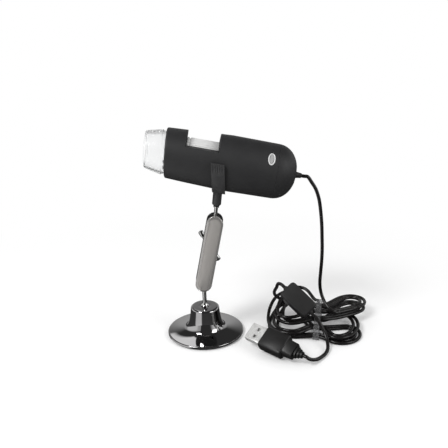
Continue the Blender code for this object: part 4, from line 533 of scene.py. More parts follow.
def unit(ways):
    """Directions of length one."""
    ways = np.asarray(ways, float)
    return ways / np.linalg.norm(ways, axis=-1, keepdims=True)


def soft_step(value):
    """0 below 0, 1 above 1, and a soft rise between."""
    share = np.clip(value, 0, 1)
    return share * share * (3 - 2 * share)


def headed(along, across, heading):
    """Points given along and across a heading in degrees."""
    turn = math.radians(heading)
    return np.stack([along * math.cos(turn) - across * math.sin(turn),
                     along * math.sin(turn) + across * math.cos(turn)], -1)


def loop_knots(layer):
    """Knots of one layer's loop: three along each strand of the waist, five round each lobe, pushed
    out so that the spline runs on the lobe's ellipse."""
    knots = []
    for side, lobe in ((-1, RIGHT_LOBES[layer]), (1, LEFT_LOBES[layer])):
        reach, half_length, half_width, heading, start, end = lobe
        along = side * WAIST_STRAIGHT * WAIST_KNOTS
        knots.append(headed(along, side * WAIST_OFFSET + WAIST_SHIFTS[layer], WAIST_HEADING))
        step = math.radians(end - start) / (LOBE_KNOTS - 1)
        angle = math.radians(start) + step * np.arange(LOBE_KNOTS)
        swell = 6 / (4 + 2 * math.cos(step))
        knots.append(headed(reach - half_length + half_length * swell * np.cos(angle),
                            half_width * swell * np.sin(angle), heading))
    return np.concatenate(knots)


def on_loop(knots, place):
    """Points of the closed cubic B-spline of the knots."""
    first = np.floor(place).astype(int)
    share = place - first
    pulls = np.stack([(1 - share) ** 3, 3 * share ** 3 - 6 * share ** 2 + 4,
                      1 + 3 * (share + share ** 2 - share ** 3), share ** 3]) / 6
    return sum(pulls[k][:, None] * knots[(first + k - 1) % len(knots)] for k in range(4))


def loop_way(knots, place):
    """Direction of travel along the loop."""
    return on_loop(knots, place + WAY_STEP) - on_loop(knots, place - WAY_STEP)


def run_along(path):
    """Length of the path up to each of its points."""
    return np.concatenate([[0], np.cumsum(np.linalg.norm(np.diff(path, axis=0), axis=1))])


def loop_places(knots):
    """Places along both sides of a loop, spread by their turning and their length together."""
    places = []
    for first in (SIDE_START, SIDE_KNOTS + SIDE_START):
        fine = np.linspace(first, first + SIDE_KNOTS, FINE_PLACES)
        way, spot = loop_way(knots, fine), on_loop(knots, fine)
        turning = np.abs(np.diff(np.unwrap(np.arctan2(way[:, 1], way[:, 0]))))
        length = np.linalg.norm(np.diff(spot, axis=0), axis=1)
        run = np.concatenate([[0], np.cumsum(turning + TURN_PER_LENGTH * length)])
        even = np.linspace(0, run[-1], POINTS_PER_SIDE + 1)[:-1]
        places.append(np.interp(even, run, fine))
    return np.concatenate(places)


def hank_path():
    """Centre line of the hank: it spirals in on one layer and out on the next, goes down a layer on
    a left turn each time, rises a little at the waist and leans up behind, as loops that lie on
    each other do."""
    loops = [loop_knots(layer) for layer in range(LAYERS)]
    waist_way = headed(1.0, 0.0, WAIST_HEADING)
    points = []
    for turn in range(LAYERS * LAPS):
        layer, lap = divmod(turn, LAPS)
        nest_way = 1 - 2 * (layer % 2)
        place = loop_places(loops[layer])
        if turn == 0:
            place = place[place >= HANK_START]
        if turn == LAYERS * LAPS - 1:
            place = place[place <= HANK_END]
        left = np.clip((place - SIDE_KNOTS - 2) / (SIDE_KNOTS - 2), 0, 1)
        nest = np.full(len(place), float(lap if nest_way > 0 else LAPS - 1 - lap))
        level = np.full(len(place), float(LAYERS - 1 - layer))
        mix = np.zeros(len(place))
        if lap == LAPS - 1 and turn < LAYERS * LAPS - 1:
            nest = nest + nest_way * CLIMB_INSET * np.sin(math.pi * left)
            level = level - soft_step((left - CLIMB_START) / (CLIMB_END - CLIMB_START))
            mix = soft_step(left)
        else:
            nest = nest + nest_way * left
        below = loops[min(layer + 1, LAYERS - 1)]
        mix = mix[:, None]
        way = unit(loop_way(loops[layer], place) * (1 - mix) + loop_way(below, place) * mix)
        inward = np.stack([-way[:, 1], way[:, 0]], 1)
        spot = on_loop(loops[layer], place) * (1 - mix) + on_loop(below, place) * mix
        spot = spot + inward * LOOP_PITCH * nest[:, None]
        lift = WAIST_RISE * (1 - soft_step(np.abs(spot @ waist_way) / WAIST_RAMP))
        back = np.maximum(0, spot[:, 1] - LEAN_START)
        lean = (LEAN_SLOPE + LEAN_SLOPE_STEP * level) * back ** 2 / (back + LEAN_RAMP)
        lift = lift + np.where(place > SIDE_KNOTS + SIDE_START, lean, 0)
        height = CORD_RADIUS + FLOOR_GAP + level * LAYER_PITCH + lift
        points.append(np.column_stack([WAIST_CENTRE + spot, height]))
    points = np.concatenate(points)
    first = points[0] + unit(points[0] - points[1]) * 2 * CORD_RADIUS
    last = points[-1] + unit(points[-1] - points[-2]) * 2 * CORD_RADIUS
    return np.concatenate([[first], points, [last]])


def smooth_route(points, spacing):
    """Centripetal curve through the points, with straight first and last stretches, evenly
    stepped."""
    points = np.array(points, float)
    p0, p1, p2, p3 = (points[k:len(points) - 3 + k][:, None] for k in range(4))
    t0 = np.zeros((len(p0), 1, 1))
    t1 = t0 + np.linalg.norm(p1 - p0, axis=2, keepdims=True) ** 0.5
    t2 = t1 + np.linalg.norm(p2 - p1, axis=2, keepdims=True) ** 0.5
    t3 = t2 + np.linalg.norm(p3 - p2, axis=2, keepdims=True) ** 0.5
    share = np.linspace(0, 1, ROUTE_SAMPLES, endpoint=False)
    t = t1 + (t2 - t1) * share[None, :, None]
    one = p0 + (p1 - p0) * (t - t0) / (t1 - t0)
    two = p1 + (p2 - p1) * (t - t1) / (t2 - t1)
    three = p2 + (p3 - p2) * (t - t2) / (t3 - t2)
    four = one + (two - one) * (t - t0) / (t2 - t0)
    five = two + (three - two) * (t - t1) / (t3 - t1)
    curve = (four + (five - four) * (t - t1) / (t2 - t1)).reshape(-1, 3)
    fine = np.concatenate([points[:1], curve, points[-2:]])
    run = run_along(fine)
    places = np.linspace(0, run[-1], int(run[-1] / spacing) + 2)
    return np.stack([np.interp(places, run, fine[:, k]) for k in range(3)], 1)


def joined_route(start, start_way, middle, end, end_way):
    """A free stretch that leaves one piece square and meets the next one square."""
    lead_in = start + 2 * CORD_RADIUS * unit(start_way)
    lead_out = end - 2 * CORD_RADIUS * unit(end_way)
    return smooth_route([start, lead_in, *middle, lead_out, end], ROUTE_SPACING)


def tube(name, path, reference, body):
    """Round cord along a path: rings of radius r on the directions across the path, square to
    reference."""
    way = unit(np.gradient(path, axis=0))
    side = unit(np.cross(way, np.array(reference, float)))
    up = np.cross(side, way)
    angle = np.linspace(0, math.tau, TUBE_SIDES, endpoint=False)[None, :, None]
    ring = np.cos(angle) * side[:, None] + np.sin(angle) * up[:, None]
    return surface(name, path[:, None] + CORD_RADIUS * ring, "cord_vinyl", body, caps=True)


# Tie, dimmer box and plug, listed under the cord that they sit on: piece, solid, rounding, finish,
# slot, steps
CARRIED = {cord: [softened(*row) for row in rows] for cord, rows in {
    "hank": [("hank_tie_band", "hank_tie", 0.00012, "tie_film", "pale_tie")],
    "link": [("dimmer_case_top", "box_lid", 0.0004, "case_matt", "matte_black", 3),
             ("dimmer_case_bottom", "box_base", 0.0004, "case_matt", "matte_black", 3),
             ("dimmer_thumbwheel", "dimmer_wheel", 0.0001, "wheel_grey", "light_grey"),
             ("case_upper_relief", "box_upper_relief", 0.0002, "relief_vinyl", "cord_black"),
             ("case_lower_relief", "box_lower_relief", 0.0002, "relief_vinyl", "cord_black")],
    "lead": [("plug_handle", "plug_grip", 0.0003, "grip_vinyl", "cord_black", 3),
             ("plug_sleeve", "plug_shell", 0.0001, "plug_plating", "nickel"),
             ("plug_contact_tongue", "plug_tongue", 0.00015, "tongue_white", "light_grey")],
}.items()}
# The drop is cut into four even stretches, one fewer than these joints, and takes in the first
# stretch of the hank
FALL_BODIES = ("holder", "upper_stud", "arm", "lower_stud", "stand")
FALL_REFERENCES = ((0, 1, 0), (0, 1, 0), (0, 1, 0), (0.3, 1, 0.2))
FALL_IN_HANK = 0.010
TAIL_END, GROMMET_PROUD, GROMMET_LENGTH = 0.0495, 0.0003, 0.0042
BOX_LENGTH, BOX_RELIEF = 0.0226, 0.0012
GRIP_LENGTH, GRIP_STEP, PLUG_RELIEF = 0.0173, 0.0069, 0.0056


def on_line(place, where):
    """The point at a place along a frame's own X axis."""
    return placed(np.array((place, 0, 0)), where)


def lay_cord():
    """The drop in four stretches, the hank, the small loop and the lead."""
    hank = hank_path()
    start_way, end_way = hank[1] - hank[0], hank[-1] - hank[-2]
    tip = on_line(TAIL_END + GROMMET_PROUD + GROMMET_LENGTH, BARREL)
    drop = joined_route(tip, BARREL[:3, 0], DROP_ROUTE, hank[0], start_way)
    upper, lower = (on_line(side * (BOX_LENGTH / 2 + BOX_RELIEF), BOX) for side in (-1, 1))
    link = joined_route(hank[-1], end_way, LINK_ROUTE, upper, BOX[:3, 0])
    plug_end = on_line(GRIP_LENGTH + GRIP_STEP + PLUG_RELIEF, PLUG)
    lead = joined_route(lower, BOX[:3, 0], LEAD_ROUTE, plug_end, -PLUG[:3, 0])
    lap = int(np.searchsorted(run_along(hank), FALL_IN_HANK))
    fall = np.concatenate([drop[:-1], hank[:lap + 1]])
    run = run_along(fall)
    cuts = np.searchsorted(run, np.linspace(0, run[-1], len(FALL_BODIES)))
    for number, reference in enumerate(FALL_REFERENCES):
        part = fall[cuts[number]:cuts[number + 1] + 1]
        piece = tube(f"cord_fall_{number + 1}", part, reference, None)
        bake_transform(piece)
        if number == 0:
            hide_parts("cord_drop")
    for name, path, node, far_end, lay, cord in (
            ("cord_loops", hank[lap:], "cord_hank", "object", "coiled", "hank"),
            ("cord_small_loop", link, "cord_link", "object", "loose", "link"),
            ("cord_plug_lead", lead, "cord_lead", "plug", "loose", "lead")):
        piece = tube(name, path, (0, 0, 1), "stand")
        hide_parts(node)


lay_cord()

# ---------------------------------------------------------------- stand

BASE_RADIUS, BASE_LOW = 0.026, 0.0011
PAD_RADIUS, PAD_THICKNESS = 0.0248, 0.0008
UNDERSIDE_RADIUS, UNDERSIDE_DEPTH, UNDERSIDE_RISE = 0.0235, 0.0005, 0.0021
CAVITY_RADIUS, CAVITY_ROOF = 0.0082, 0.0170
BOSS_TOP, BOSS_RADIUS, BOSS_EDGE = 0.0200, 0.00975, 0.0015
STUD_BORE = 0.0018
# (height, radius) of the dished top from the boss to the rim: ends and corners of its bends
DISH = ((BOSS_TOP - BOSS_EDGE, BOSS_RADIUS), (0.0092, 0.0105), (0.0059, 0.0129),
        (0.0046, 0.0138), (0.0043, 0.0150), (0.0033, 0.0185), (0.0026, 0.0253),
        (0.0025, BASE_RADIUS), (0.0019, BASE_RADIUS))
DISH_STEPS = (24, 12, 20, 6)
BALL_RADIUS = 0.0042
EDGE_STEPS, BALL_STEPS, COLLAR_STEPS = 11, 40, 18
COLLAR_GAP, COLLAR_RADIUS, COLLAR_BAND = 0.0003, 0.0027, 0.0004
COLLAR_WAIST, COLLAR_WAIST_RISE, COLLAR_RISE = 0.0016, 0.0014, 0.0036
LOWER_STEM, LOWER_SHANK, LOWER_END = 0.001375, 0.0015, 0.0146
UPPER_STEM, UPPER_END = 0.0012, 0.0174
RING_PLACE, RING_RADIUS, RING_HEIGHT = 0.0105, 0.0019, 0.0007


def build_stand():
    """Base, turned from its boss's rounded edge, the dished bends, the hollow underside and the
    bore; its foot pad; and the lower ball stud, an arc of a circle on a stem with a small flared
    collar."""
    edge = arc((BOSS_TOP - BOSS_EDGE, BOSS_RADIUS - BOSS_EDGE), BOSS_EDGE, 0, 90, EDGE_STEPS)
    outline = [(BOSS_TOP, STUD_BORE)] + edge + bends(DISH, DISH_STEPS)[1:]
    outline += [(BASE_LOW, BASE_RADIUS), (BASE_LOW, UNDERSIDE_RADIUS),
                (BASE_LOW + UNDERSIDE_DEPTH, UNDERSIDE_RADIUS),
                (BASE_LOW + UNDERSIDE_RISE, CAVITY_RADIUS), (CAVITY_ROOF, CAVITY_RADIUS),
                (CAVITY_ROOF, STUD_BORE)]
    turned_piece("dished_base", outline, "Z", STAND, "dark_chrome", "stand", "base_shell")
    outline = [(0, 0), (0, PAD_RADIUS), (PAD_THICKNESS, PAD_RADIUS), (PAD_THICKNESS, 0)]
    turned_piece("foot_pad", outline, "Z", STAND, "foot_rubber", "stand", "base_foot_pad")
    collar = BOSS_TOP + COLLAR_GAP
    outline = [(LOWER_END, 0), (LOWER_END, LOWER_SHANK), (collar, LOWER_SHANK),
               (collar, COLLAR_RADIUS)]
    outline += bends(((collar + COLLAR_BAND, COLLAR_RADIUS),
                      (collar + COLLAR_WAIST_RISE, COLLAR_WAIST),
                      (collar + COLLAR_RISE, LOWER_STEM)), (COLLAR_STEPS,))
    root = math.degrees(math.asin(LOWER_STEM / BALL_RADIUS))
    outline += arc((LOWER_BALL_HEIGHT, 0), BALL_RADIUS, 180 - root, 0, BALL_STEPS)[:-1]
    outline += [(LOWER_BALL_HEIGHT + BALL_RADIUS, 0)]
    turned_piece("lower_ball_pin", outline, "Z", STAND, "bright_chrome", "lower_stud",
                 "lower_ball_stud")


def build_head():
    """Upper ball stud: an arc of a circle on a stem with a ring."""
    root = math.degrees(math.asin(UPPER_STEM / BALL_RADIUS))
    outline = [(-BALL_RADIUS, 0)] + arc((0, 0), BALL_RADIUS, 180, root, BALL_STEPS)[1:]
    outline += [(RING_PLACE, UPPER_STEM), (RING_PLACE, RING_RADIUS),
                (RING_PLACE + RING_HEIGHT, RING_RADIUS), (RING_PLACE + RING_HEIGHT, UPPER_STEM),
                (UPPER_END, UPPER_STEM), (UPPER_END, 0)]
    turned_piece("upper_ball_pin", outline, "Z", HEAD, "bright_chrome", "upper_stud",
                 "upper_ball_stud")


# ---------------------------------------------------------------- microscope

# Places along the barrel are counted from the middle of the cradle, tail positive
MOUTH_PLACE, MOUTH_RADIUS, MOUTH_EDGE, MOUTH_BORE = -0.03315, 0.01585, 0.0012, 0.01385
MOUTH_EDGE_START = 180 - math.degrees(0.1)
MOUTH_LIMIT, MOUTH_SLANT, MOUTH_STEPS = -0.03075, 5.2, 8
WIDEST_PLACE, WIDEST_RADIUS = 0.007, 0.0178
SLEEVE_END, SLEEVE_RADIUS = 0.0363, 0.01745
SLEEVE_ROUNDING = ((0.03625, 0.01744), (SLEEVE_END, 0.01739))
SPREAD = ((MOUTH_PLACE, WIDEST_PLACE, SLEEVE_END), (MOUTH_RADIUS, WIDEST_RADIUS, SLEEVE_RADIUS))
NOTCH_START, NOTCH_END, NOTCH_FLOOR = -0.0213, -0.0006, 0.0086
FRONT_BORE_END, DIAL_BORE = -0.0210, 0.0123
BULKHEAD_BORE, BULKHEAD_END, REAR_BORE = 0.009, 0.0014, 0.0154
CUT_REACH, HOLE_FLOOR, CUT_ANGLE = 0.0198, 0.0134, math.radians(35)
BUTTON_HOLE, HOLE_STEPS, OVAL_STEPS = (0.0024, 0.0041), 64, 96
BEZEL_GAP, BEZEL_WALL, BEZEL_DEPTH = 0.00015, 0.0008, -0.0016
# (distance in from the bezel's outside, height over the barrel) of its rounded top
BEZEL_TOP = ((0, 0.00005), (0.00008, 0.0002), (0.00022, 0.0003), (0.0004, 0.00033),
             (0.00058, 0.0003), (0.00072, 0.0002), (BEZEL_WALL, 0.00005))
KEY_GAP, KEY_DEPTH = 0.00022, -0.0024
# (share of the key's size, height over the barrel) of its cushioned top
KEY_TOP = ((1, 0.0001), (0.95, 0.0003), (0.86, 0.00042), (0.7, 0.00045), (0.5, 0.0004),
           (0.25, 0.00036), (0, 0.00035))
TAIL_START, TAIL_RADIUS, TAIL_FLAT = 0.03638, 0.01741, 0.0070
TAIL_POWER, TAIL_STEPS = 2.15, 48
TAIL_WALL, TAIL_INSIDE, TAIL_BORE = 0.0022, 0.0136, 0.0019
SPIGOT_LENGTH, SPIGOT_RADIUS = 0.0013, 0.0151
GROMMET_ROOT, GROMMET_FLANGE, GROMMET_FLANGE_RADIUS = 0.0025, 0.0009, 0.0034
GROMMET_RADIUS, GROMMET_COLLAR, GROMMET_BAND = 0.0016, 0.0022, 0.0006
GROMMET_WAIST, GROMMET_WAIST_RISE, GROMMET_STEPS = 0.00178, 0.0018, 10
NOSE_SPIGOT_END, NOSE_SPIGOT, NOSE_SPIGOT_WALL = -0.0308, 0.01355, 0.0014
NOSE_ROOT, NOSE_ROOT_RADIUS, NOSE_TIP = -0.0352, 0.0140, -0.0463
# (place, radius) of the bell's side: its ends, and the corner that it is drawn to between them
NOSE_BELL = ((NOSE_ROOT - 0.0004, 0.01395), (-0.0405, 0.0132), (NOSE_TIP + 0.0006, 0.0117))
NOSE_MOUTH = ((NOSE_TIP, 0.0111), (NOSE_TIP, 0.0104), (NOSE_ROOT, 0.0127))
NOSE_LIMIT, NOSE_STEPS = NOSE_ROOT + 0.0006, 30
NOSE_GROOVES, NOSE_GROOVE_DEPTH, NOSE_GROOVE_HALF = (-0.0392, -0.0412, -0.0432), 0.00012, 0.00035
DIAL_START, DIAL_END, DIAL_RADIUS, DIAL_INSIDE = -0.0210, -0.0009, 0.012, 0.0090
DIAL_EDGE, DIAL_CREASE = 0.00025, math.radians(50)
RIB_COUNT, RIB_STEPS, RIB_DEPTH = 40, 14, 0.00035
RIB_SHARE, GAP_SHARE, FLANK_SHARE = 0.44, 0.88, 0.12
RING_START, RING_WIDTH, RING_DEPTH, RING_FLANK = DIAL_START + 0.0012, 0.0009, 0.0006, 0.0001


def barrel_radius(place):
    """Two straight tapers that meet at the widest place."""
    return float(np.interp(place, *SPREAD))


def cut(piece, cutters):
    """Cut closed shapes out of a piece for good, and drop them."""
    for cutter in cutters:
        change = piece.modifiers.new(cutter.name, "BOOLEAN")
        change.object, change.operation, change.solver = cutter, "DIFFERENCE", "EXACT"
    bpy.context.view_layer.update()
    graph = bpy.context.evaluated_depsgraph_get()
    done = bpy.data.meshes.new_from_object(piece.evaluated_get(graph))
    piece.modifiers.clear()
    piece.data = done
    for cutter in cutters:
        bpy.data.objects.remove(cutter)
    done.set_sharp_from_angle(angle=CUT_ANGLE)


def cutter(name, outline, axis, levels, where):
    """A closed shape: an outline on two axes, carried along the third between two levels."""
    grid = np.zeros((2, len(outline[0]), 3))
    grid[..., axis] = np.array(levels)[:, None]
    grid[..., [other for other in range(3) if other != axis]] = np.array(outline).T
    piece = surface(name, placed(grid, where), "inner_matt", None, caps=True)
    piece.data.shade_flat()
    return piece


def oval(size, angle):
    """(across, along) of the ellipse with the given half width and half length, at each angle."""
    return size[0] * np.cos(angle), size[1] * np.sin(angle)


def build_barrel():
    """Barrel wall: two straight tapers with a rounded mouth, and stepped bores. The notch over the
    dial and the oval hole for the snap button are cut out of it."""
    outline = [(MOUTH_PLACE, MOUTH_BORE), (MOUTH_PLACE, MOUTH_RADIUS - MOUTH_EDGE)]
    outline += arc((MOUTH_PLACE + MOUTH_EDGE, MOUTH_RADIUS - MOUTH_EDGE), MOUTH_EDGE,
                   MOUTH_EDGE_START, 90, MOUTH_STEPS)
    outline += [(place, barrel_radius(place))
                for place in (NOTCH_START, NOTCH_END, WIDEST_PLACE, BUTTON_PLACE)]
    outline += [*SLEEVE_ROUNDING, (SLEEVE_END, REAR_BORE), (BULKHEAD_END, REAR_BORE),
                (BULKHEAD_END, BULKHEAD_BORE), (NOTCH_END, BULKHEAD_BORE), (NOTCH_END, DIAL_BORE),
                (FRONT_BORE_END, DIAL_BORE), (FRONT_BORE_END, MOUTH_BORE)]
    barrel = turned_piece("barrel_wall", outline, "X", BARREL, "barrel_matt", "microscope",
                          "housing_sleeve", (MOUTH_LIMIT, MOUTH_SLANT))
    notch = ((-CUT_REACH, CUT_REACH, CUT_REACH, -CUT_REACH),
             (NOTCH_FLOOR, NOTCH_FLOOR, CUT_REACH, CUT_REACH))
    hole = oval(BUTTON_HOLE, np.linspace(0, math.tau, HOLE_STEPS, endpoint=False))
    cut(barrel, [cutter("notch", notch, 0, (NOTCH_START, NOTCH_END), BARREL),
                 cutter("button_hole", hole, 2, (HOLE_FLOOR, CUT_REACH), BUTTON)])


def crowned(size, lift):
    """Ring over the oval hole: at angle a it goes through (half width times cos a, half length
    times sin a), and its height follows the barrel's crown, raised by lift."""
    across, along = oval(size, np.linspace(0, math.tau, OVAL_STEPS, endpoint=False))
    crown = barrel_radius(BUTTON_PLACE) + lift
    return np.stack([across, along, np.sqrt(crown ** 2 - along ** 2)], -1)


def build_button():
    """Oval bezel and snap key, each a stack of crowned rings."""
    size = np.array(BUTTON_HOLE) - BEZEL_GAP
    rings = ((0, BEZEL_DEPTH), *BEZEL_TOP, (BEZEL_WALL, BEZEL_DEPTH))
    bezel = np.array([crowned(size - inset, lift) for inset, lift in rings])
    surface("snap_bezel", placed(bezel, BUTTON), "bezel_pale", "microscope", ("button_bezel",),
            wrap_rows=True)
    size = size - BEZEL_WALL - KEY_GAP
    rings = ((0, KEY_DEPTH), (1, KEY_DEPTH), *KEY_TOP)
    key = np.array([crowned(size * share, lift) for share, lift in rings])
    surface("snap_key", placed(key, BUTTON), "button_grey", "button", ("snap_button",))


def tail_curve(radius, length):
    """(place, radius) on a power curve: the place goes with sin a and the radius with cos a, both
    to the power 2 / p, from the tail's start to its flat."""
    stop = math.acos((TAIL_FLAT / SLEEVE_RADIUS) ** (TAIL_POWER / 2))
    angle = np.linspace(0, stop, TAIL_STEPS)
    full = math.sin(stop) ** (2 / TAIL_POWER)
    return list(zip(TAIL_START + length * np.sin(angle) ** (2 / TAIL_POWER) / full,
                    radius * np.cos(angle) ** (2 / TAIL_POWER)))


def build_tail():
    """Blunt rounded tail, open to the barrel, and the tapered grommet in its middle."""
    length = TAIL_END - TAIL_START
    outline = tail_curve(TAIL_RADIUS, length)
    outline += [(TAIL_END, TAIL_BORE), (TAIL_END - TAIL_WALL, TAIL_BORE)]
    outline += tail_curve(TAIL_INSIDE, length - TAIL_WALL)[::-1]
    outline += [(TAIL_START - SPIGOT_LENGTH, TAIL_INSIDE),
                (TAIL_START - SPIGOT_LENGTH, SPIGOT_RADIUS), (TAIL_START, SPIGOT_RADIUS)]
    turned_piece("tail_dome", outline, "X", BARREL, "barrel_matt", "microscope", "tail_cap")
    neck, collar = TAIL_END - GROMMET_ROOT, TAIL_END + GROMMET_PROUD
    outline = [(neck - GROMMET_FLANGE, 0), (neck - GROMMET_FLANGE, GROMMET_FLANGE_RADIUS),
               (neck, GROMMET_FLANGE_RADIUS), (neck, GROMMET_RADIUS), (collar, GROMMET_RADIUS),
               (collar, GROMMET_COLLAR)]
    outline += bends(((collar + GROMMET_BAND, GROMMET_COLLAR),
                      (collar + GROMMET_WAIST_RISE, GROMMET_WAIST),
                      (collar + GROMMET_LENGTH, GROMMET_RADIUS)), (GROMMET_STEPS,))
    outline += [(collar + GROMMET_LENGTH, 0)]
    turned_piece("tapered_grommet", outline, "X", BARREL, "relief_vinyl", "microscope",
                 "cable_grommet")


def build_nose():
    """Clear bell in front of the barrel, with the slanted root that follows the barrel's mouth. Its
    side is a parabola with three faint V grooves."""
    outline = [(NOSE_SPIGOT_END, NOSE_SPIGOT - NOSE_SPIGOT_WALL), (NOSE_SPIGOT_END, NOSE_SPIGOT),
               (NOSE_ROOT, NOSE_SPIGOT), (NOSE_ROOT, NOSE_ROOT_RADIUS)]
    for place, radius in bends(NOSE_BELL, (NOSE_STEPS,)):
        near = min(abs(place - groove) for groove in NOSE_GROOVES)
        depth = NOSE_GROOVE_DEPTH * max(0.0, 1 - near / NOSE_GROOVE_HALF)
        outline.append((place, radius - depth))
    turned_piece("nose_bell", outline + [*NOSE_MOUTH], "X", BARREL, "nose_clear", "microscope",
                 "nose_cap", (NOSE_LIMIT, MOUTH_SLANT))


def build_dial():
    """Ribbed dial: the radius dips by the rib depth between ribs as the angle turns, and the ring
    groove and the ends follow the profile (place, change of radius, share of the ribs)."""
    count = RIB_COUNT * RIB_STEPS
    share = np.linspace(0, 1, count, endpoint=False) * RIB_COUNT % 1
    dip = (soft_step((share - RIB_SHARE) / FLANK_SHARE)
           * (1 - soft_step((share - GAP_SHARE) / FLANK_SHARE)))
    ring_end = RING_START + RING_WIDTH
    profile = ((DIAL_START, -DIAL_EDGE, 1), (DIAL_START + DIAL_EDGE, 0, 1),
               (RING_START - RING_FLANK, 0, 1), (RING_START, -RING_DEPTH, 0),
               (ring_end, -RING_DEPTH, 0), (ring_end + RING_FLANK, 0, 1),
               (DIAL_END - DIAL_EDGE, 0, 1), (DIAL_END, -DIAL_EDGE, 1),
               (DIAL_END, DIAL_INSIDE - DIAL_RADIUS, 0), (DIAL_START, DIAL_INSIDE - DIAL_RADIUS, 0))
    places, change, ribs = np.array(profile).T[:, :, None]
    radius = DIAL_RADIUS + change - RIB_DEPTH * ribs * dip[None]
    angle = np.linspace(0, math.tau, count, endpoint=False)
    grid = np.stack([np.broadcast_to(places, radius.shape), radius * np.cos(angle),
                     radius * np.sin(angle)], -1)
    dial = surface("focus_wheel", placed(grid, BARREL), "dial_grey", "dial", ("focus_dial",),
                   wrap_rows=True)
    dial.data.set_sharp_from_angle(angle=DIAL_CREASE)


# Pieces made from their solids: name, solid, rounding of the edges, finish and slot
SOFTENED = (
    ("front_plate", "arm_front_plate", 0.00018, "satin_plate", "satin_grey"),
    ("rear_plate", "arm_rear_plate", 0.00025, "gloss_enamel", "gloss_black"),
    ("tightening_hub", "clamp_hub", 0.0002, "gloss_enamel", "matte_black"),
    ("tightening_bar", "clamp_bar", 0.0002, "bright_chrome", "steel"),
    ("thrust_washer", "clamp_washer", 0.00015, "bright_chrome", "steel"),
    ("pinch_bolt", "clamp_bolt", 0.00015, "bright_chrome", "steel"),
    ("opening_spring", "clamp_spring", 0.00002, "bright_chrome", "steel"),
    ("c_clip", "cradle", 0.00012, "clip_matt", "matte_black"),
    ("clip_insert", "neck_insert", 0.0001, "turned_brass", "brass"),
    ("lamp_plate_ring", "lamp_board", 0.0001, "lamp_plate", "board"),
    ("dial_keeper", "dial_retainer", 0.00015, "inner_matt", "matte_black"),
    ("inner_tube", "optics_tube", 0.0001, "inner_matt", "matte_black"),
    ("sliding_lens_holder", "lens_carriage", 0.0001, "inner_matt", "matte_black"),
    ("lens_ring", "lens_retaining_ring", 0.0001, "inner_matt", "matte_black"),
    ("front_lens", "objective_lens", 0.00005, "coated_glass", "lens_glass"),
    *((f"lamp_dome_{n}", f"lamp_{n}", 0.0001, "lamp_clear", "clear") for n in range(1, 9)))
# Solids that stay inside the object and only get a finish
INSIDE = {"base_weight": "bright_chrome", "stud_nut": "bright_chrome",
          "infrared_filter": "coated_glass", "image_sensor": "chip_resin",
          "sensor_board": "board_green", "main_board": "board_green",
          "controller_chip": "chip_resin", "push_switch": "chip_resin"}

build_stand()
build_head()
build_barrel()
build_button()
build_tail()
build_nose()
build_dial()
for row in SOFTENED:
    softened(*row)
for node, finish in INSIDE.items():
    data = frame["nodes"][node].data
    data.materials.clear()
    data.materials.append(FINISH[finish])

# ---------------------------------------------------------------- studio

TABLE_HALF, TABLE_GAP = 3.0, 0.0001
PAPER, PAPER_DARK, PAPER_GRAIN = (0.9, 0.9, 0.9), (0.86, 0.86, 0.86), 0.003
# Painted reflection: glossy rays see the table painted dim, with a painted white sheet at the left
# front
PAINTED_TABLE_REFLECTION = (0.07, 0.07, 0.07)
PAINTED_SHEET_WAY, PAINTED_SHEET_EDGE = (-0.72, -0.69, 0.0), (0.90, 0.95)
# The camera sees the table as plain white beyond these distances from the middle
WHITE_FROM, TABLE_LIFT = (0.12, 0.3), 0.14
SKY_LEVEL, ROOM_LEVEL = 0.62, 0.05
# Painted reflection of a room, seen only by glossy rays: where its walls start and are full, at the
# sides, behind, and up to the ceiling
SIDE_WALLS, REAR_WALL, REAR_LEVEL, CEILING = (0.45, 0.9), (0.3, 0.8), 0.55, (0.3, 0.6)
# Panels, painted reflections seen only by glossy rays: behind (1) or in front (-1), middle and half
# width along X, low and high edge, brightness
PAINTED_REFLECTION_PANELS = ((1, -0.11, 0.1, 0.5, 0.78, 1.3), (-1, -0.62, 0.12, -0.05, 0.42, 0.6))
PANEL_BLUR, PANEL_TURN = 0.02, 0.1
LAMPS = (("key", (-0.5, -0.45, 0.8), (0.35, 0.3), 5.0),
         ("fill", (0.8, -0.5, 0.6), (0.5, 0.5), 2.5))
LAMP_AIM = (0.03, 0, 0.06)


class Stage(Nodes):
    """Node tree of the table or the world, with the marks of the rays that look at it."""

    def __init__(self, tree):
        self.tree = tree
        self.light = tree.nodes.new("ShaderNodeLightPath").outputs

    def seen(self, *kinds):
        """1 for the named kinds of ray."""
        total = self.light[f"Is {kinds[0]} Ray"]
        for kind in kinds[1:]:
            total = self.maths("MAXIMUM", total, self.light[f"Is {kind} Ray"])
        return total

    def rise(self, value, start, end, low=0.0, high=1.0):
        """Soft change from low to high while the value goes from start to end."""
        ends = {"Value": value, "From Min": start, "From Max": end, "To Min": low, "To Max": high}
        change = self.add("ShaderNodeMapRange", ends, interpolation_type="SMOOTHSTEP")
        return change.outputs["Result"]

    def vector_maths(self, operation, output, *inputs):
        """One result of a vector operation."""
        made = self.add("ShaderNodeVectorMath", dict(enumerate(inputs)), operation=operation)
        return made.outputs[output]


